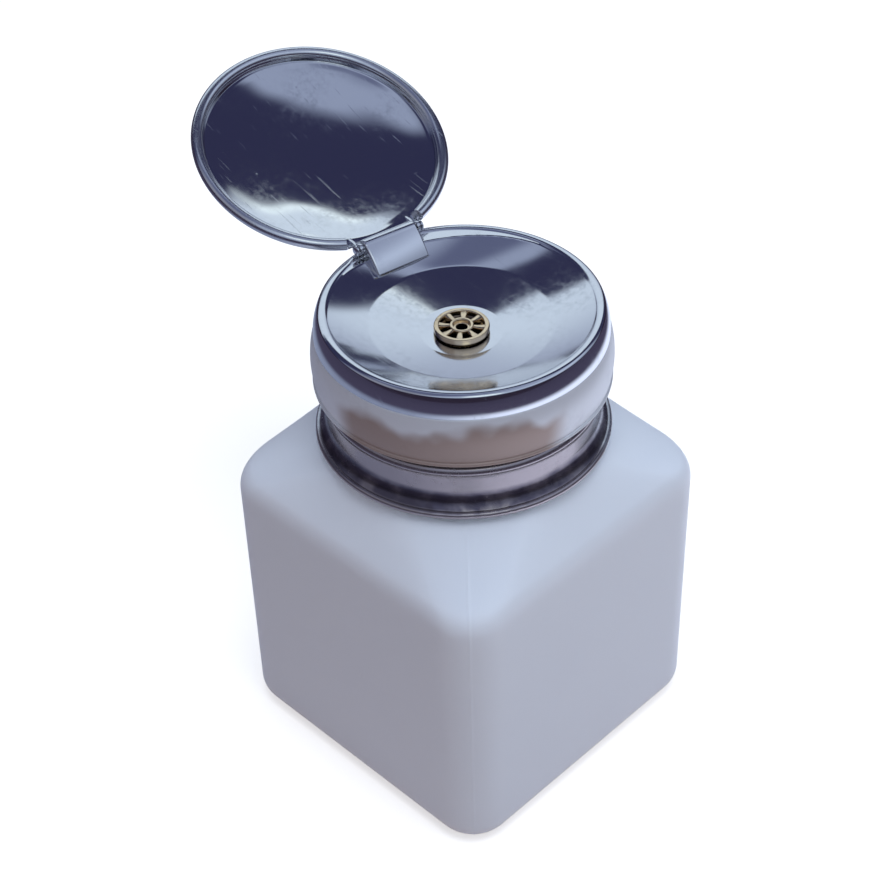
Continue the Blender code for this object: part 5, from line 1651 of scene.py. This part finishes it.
def room_seen_in_metal(tree, direction, settings):
    """Pale far and right walls under a dark ceiling, dim on the near side and low down."""
    height = dot(tree, direction, (0, 0, 1))
    depth = dot(tree, direction, heading(AHEAD))
    across = dot(tree, direction, heading(ACROSS))
    wall, window = far_wall_parts(tree, height, depth, across)
    near = product(tree, between(tree, dot(tree, direction, heading(NEAR_SIDE)), 0.0, 0.35),
                   between(tree, height, 0.86, 0.76))
    tone = mix(tree, near, ceiling_tone(tree, height, depth, settings), settings.near_wall)
    right = between(tree, dot(tree, direction, (1, 0, 0)), 0.10, 0.32)
    tone = mix(tree, right, tone, right_wall_tone(tree, height, settings))
    tone = mix(tree, wall, tone, far_wall_tone(tree, height, window, settings))
    low = product(tree, between(tree, height, 0.34, 0.22),
                  calculate(tree, 'SUBTRACT', 1.0, wall))
    tone = mix(tree, low, tone, settings.skirting)
    spot = between(tree, dot(tree, direction, heading(*SPOT_HEADING)), 0.975, 0.985)
    return mix(tree, spot, tone, window_light(settings))


def soft_room_light(tree, direction, settings):
    """Plain soft light: even from above, a little warmer and weaker from the left."""
    side = mix(tree, between(tree, dot(tree, direction, heading(LEFT_SIDE)), -0.1, 0.95),
               settings.right_light, settings.left_light)
    return mix(tree, between(tree, dot(tree, direction, (0, 0, 1)), 0.1, 0.9), side,
               settings.top_light)


def make_world(settings):
    world = bpy.data.worlds.new("studio_room")
    world.use_nodes = True
    bpy.context.scene.world = world
    tree = world.node_tree
    tree.nodes.clear()
    direction = add_node(tree, 'ShaderNodeTexCoord').outputs["Generated"]
    rays = add_node(tree, 'ShaderNodeLightPath').outputs
    mirrored = calculate(tree, 'MAXIMUM', rays["Is Glossy Ray"], rays["Is Transmission Ray"])
    seen = mix(tree, mirrored, soft_room_light(tree, direction, settings),
               room_seen_in_metal(tree, direction, settings))
    shown = mix(tree, rays["Is Camera Ray"], seen, (1.0, 1.0, 1.0))
    background = wired(tree, 'ShaderNodeBackground', {"Color": shown})
    wired(tree, 'ShaderNodeOutputWorld', {"Surface": background.outputs["Background"]})


def floor_material(settings):
    """Plain pale floor: lit and shadowed for the camera, duller tones in the metal."""
    glow_strength = 0.50
    material = bpy.data.materials.new("plain_floor")
    material.use_nodes = True
    tree = material.node_tree
    tree.nodes.clear()
    rays = add_node(tree, 'ShaderNodeLightPath').outputs
    place = add_node(tree, 'ShaderNodeTexCoord').outputs["Object"]
    reach = add_node(tree, 'ShaderNodeVectorMath', operation='LENGTH')
    tree.links.new(place, reach.inputs[0])
    side = between(tree, dot(tree, place, heading(FLOOR_SIDE)), -0.10, 0.12)
    close = mix(tree, side, settings.floor_left, settings.floor_near)
    mirrored = mix(tree, between(tree, reach.outputs["Value"], 0.14, 0.21), close,
                   settings.floor_far)
    glossy = calculate(tree, 'MAXIMUM', rays["Is Glossy Ray"], rays["Is Transmission Ray"])
    tone = mix(tree, glossy, settings.floor_bounce, mirrored)
    tone = mix(tree, rays["Is Camera Ray"], tone, settings.floor)
    diffuse = wired(tree, 'ShaderNodeBsdfDiffuse', {"Color": tone})
    shown = calculate(tree, 'MAXIMUM', rays["Is Camera Ray"], glossy)
    glow = wired(tree, 'ShaderNodeEmission',
                 {"Color": mix(tree, glossy, (1.0, 0.98, 0.95), mirrored),
                  "Strength": product(tree, shown, glow_strength)})
    both = add_node(tree, 'ShaderNodeAddShader')
    tree.links.new(diffuse.outputs[0], both.inputs[0])
    tree.links.new(glow.outputs[0], both.inputs[1])
    wired(tree, 'ShaderNodeOutputMaterial', {"Surface": both.outputs[0]})
    return material


def make_floor(settings):
    mesh = bmesh.new()
    reach, drop = 12.0, -0.00002
    corners = [mesh.verts.new((x * reach, y * reach, drop))
               for x, y in ((-1, -1), (1, -1), (1, 1), (-1, 1))]
    mesh.faces.new(corners)
    data = bpy.data.meshes.new("floor")
    mesh.to_mesh(data)
    mesh.free()
    data.materials.append(floor_material(settings))
    floor = bpy.data.objects.new("floor", data)
    bpy.context.scene.collection.objects.link(floor)


def make_lamp(name, place, aim, size, power, tone):
    data = bpy.data.lights.new(name, 'AREA')
    data.shape = 'DISK'
    data.size = size
    data.energy = power
    data.color = tone
    lamp = bpy.data.objects.new(name, data)
    bpy.context.scene.collection.objects.link(lamp)
    lamp.location = place
    lamp.rotation_mode = 'QUATERNION'
    lamp.rotation_quaternion = (Vector(place) - Vector(aim)).to_track_quat('Z', 'Y')
    lamp.visible_camera = False
    lamp.visible_glossy = False
    return lamp


# Operators

def project(context):
    return context.scene.bottle_project


class BOTTLE_OT_stage(bpy.types.Operator):
    """Set up the camera, the floor and the soft light"""
    bl_idname = "bottle.stage"
    bl_label = "Set the stage"

    def execute(self, context):
        settings = project(context).stage
        context.scene.view_settings.view_transform = 'Standard'
        make_camera(settings)
        make_world(settings)
        make_floor(settings)
        aim = Vector((0, 0, settings.key_aim))
        place = aim + heading(settings.key_turn, settings.key_rise) * settings.key_distance
        make_lamp("key_light", place, aim, settings.key_size, settings.key_power,
                  settings.key_tone)
        return {'FINISHED'}


class BOTTLE_OT_bottle(bpy.types.Operator):
    """Make the blow-moulded bottle and its neck thread"""
    bl_idname = "bottle.bottle"
    bl_label = "Bottle"

    def execute(self, context):
        settings = project(context)
        make_bottle(settings.bottle, settings.finish)
        make_neck_thread(settings.bottle, settings.finish)
        return {'FINISHED'}


class BOTTLE_OT_collar(bpy.types.Operator):
    """Make the screw collar with its flared and beaded foot"""
    bl_idname = "bottle.collar"
    bl_label = "Collar"

    def execute(self, context):
        settings = project(context)
        make_collar(settings.collar, settings.finish)
        return {'FINISHED'}


class BOTTLE_OT_head(bpy.types.Operator):
    """Make the barrel skirt and the pad dish"""
    bl_idname = "bottle.head"
    bl_label = "Skirt and dish"

    def execute(self, context):
        settings = project(context)
        make_skirt(settings.head, settings.finish)
        make_dish(settings.head, settings.finish)
        return {'FINISHED'}


class BOTTLE_OT_nozzle(bpy.types.Operator):
    """Make the brass nozzle and its star of spokes"""
    bl_idname = "bottle.nozzle"
    bl_label = "Nozzle"

    def execute(self, context):
        settings = project(context)
        make_nozzle(settings.nozzle, settings.finish)
        return {'FINISHED'}


class BOTTLE_OT_hinge(bpy.types.Operator):
    """Make the folded hinge bracket and its pin"""
    bl_idname = "bottle.hinge"
    bl_label = "Hinge"

    def execute(self, context):
        settings = project(context)
        make_bracket(settings.hinge, settings.head, settings.finish)
        make_pin(settings.hinge, settings.lid, settings.finish)
        return {'FINISHED'}


class BOTTLE_OT_lid(bpy.types.Operator):
    """Make the domed lid with its rolled rim and its two ears"""
    bl_idname = "bottle.lid"
    bl_label = "Lid"

    def execute(self, context):
        settings = project(context)
        make_lid(settings.lid, settings.hinge, settings.finish)
        return {'FINISHED'}


class BOTTLE_OT_pump(bpy.types.Operator):
    """Make the fine mouldings of the pump and finish its inner pieces"""
    bl_idname = "bottle.pump"
    bl_label = "Pump"

    def execute(self, context):
        settings = project(context)
        fine_liner(settings.pump, settings.finish)
        fine_liner_thread(settings.pump, settings.bottle, settings.finish)
        fine_cylinder(settings.pump, settings.finish)
        fine_spring(settings.pump, settings.finish)
        fine_tube(settings.pump, settings.finish)
        dress_nodes(settings.finish)
        return {'FINISHED'}


OPERATORS = (BOTTLE_OT_stage, BOTTLE_OT_bottle, BOTTLE_OT_collar, BOTTLE_OT_head,
             BOTTLE_OT_nozzle, BOTTLE_OT_hinge, BOTTLE_OT_lid, BOTTLE_OT_pump)


class BOTTLE_PT_panel(bpy.types.Panel):
    """Sidebar panel that lists the pieces"""
    bl_idname = "BOTTLE_PT_panel"
    bl_label = "Pump Dispenser Bottle"
    bl_space_type = 'VIEW_3D'
    bl_region_type = 'UI'
    bl_category = "Bottle"

    def draw(self, context):
        for operator in OPERATORS:
            self.layout.operator(operator.bl_idname, text=operator.bl_label)


GROUPS = (BottleSizes, CollarSizes, HeadSizes, NozzleSizes, HingeSizes, LidSizes, PumpSizes,
          Finishes, StageSettings, BottleProject)


def register():
    for item in GROUPS + OPERATORS + (BOTTLE_PT_panel,):
        bpy.utils.register_class(item)
    bpy.types.Scene.bottle_project = PointerProperty(type=BottleProject)


def unregister():
    del bpy.types.Scene.bottle_project
    for item in reversed(GROUPS + OPERATORS + (BOTTLE_PT_panel,)):
        bpy.utils.unregister_class(item)


def main():
    register()
    bpy.ops.bottle.stage()
    bpy.ops.bottle.bottle()
    bpy.ops.bottle.collar()
    bpy.ops.bottle.head()
    bpy.ops.bottle.nozzle()
    bpy.ops.bottle.hinge()
    bpy.ops.bottle.lid()
    bpy.ops.bottle.pump()


if __name__ == "__main__":
    main()
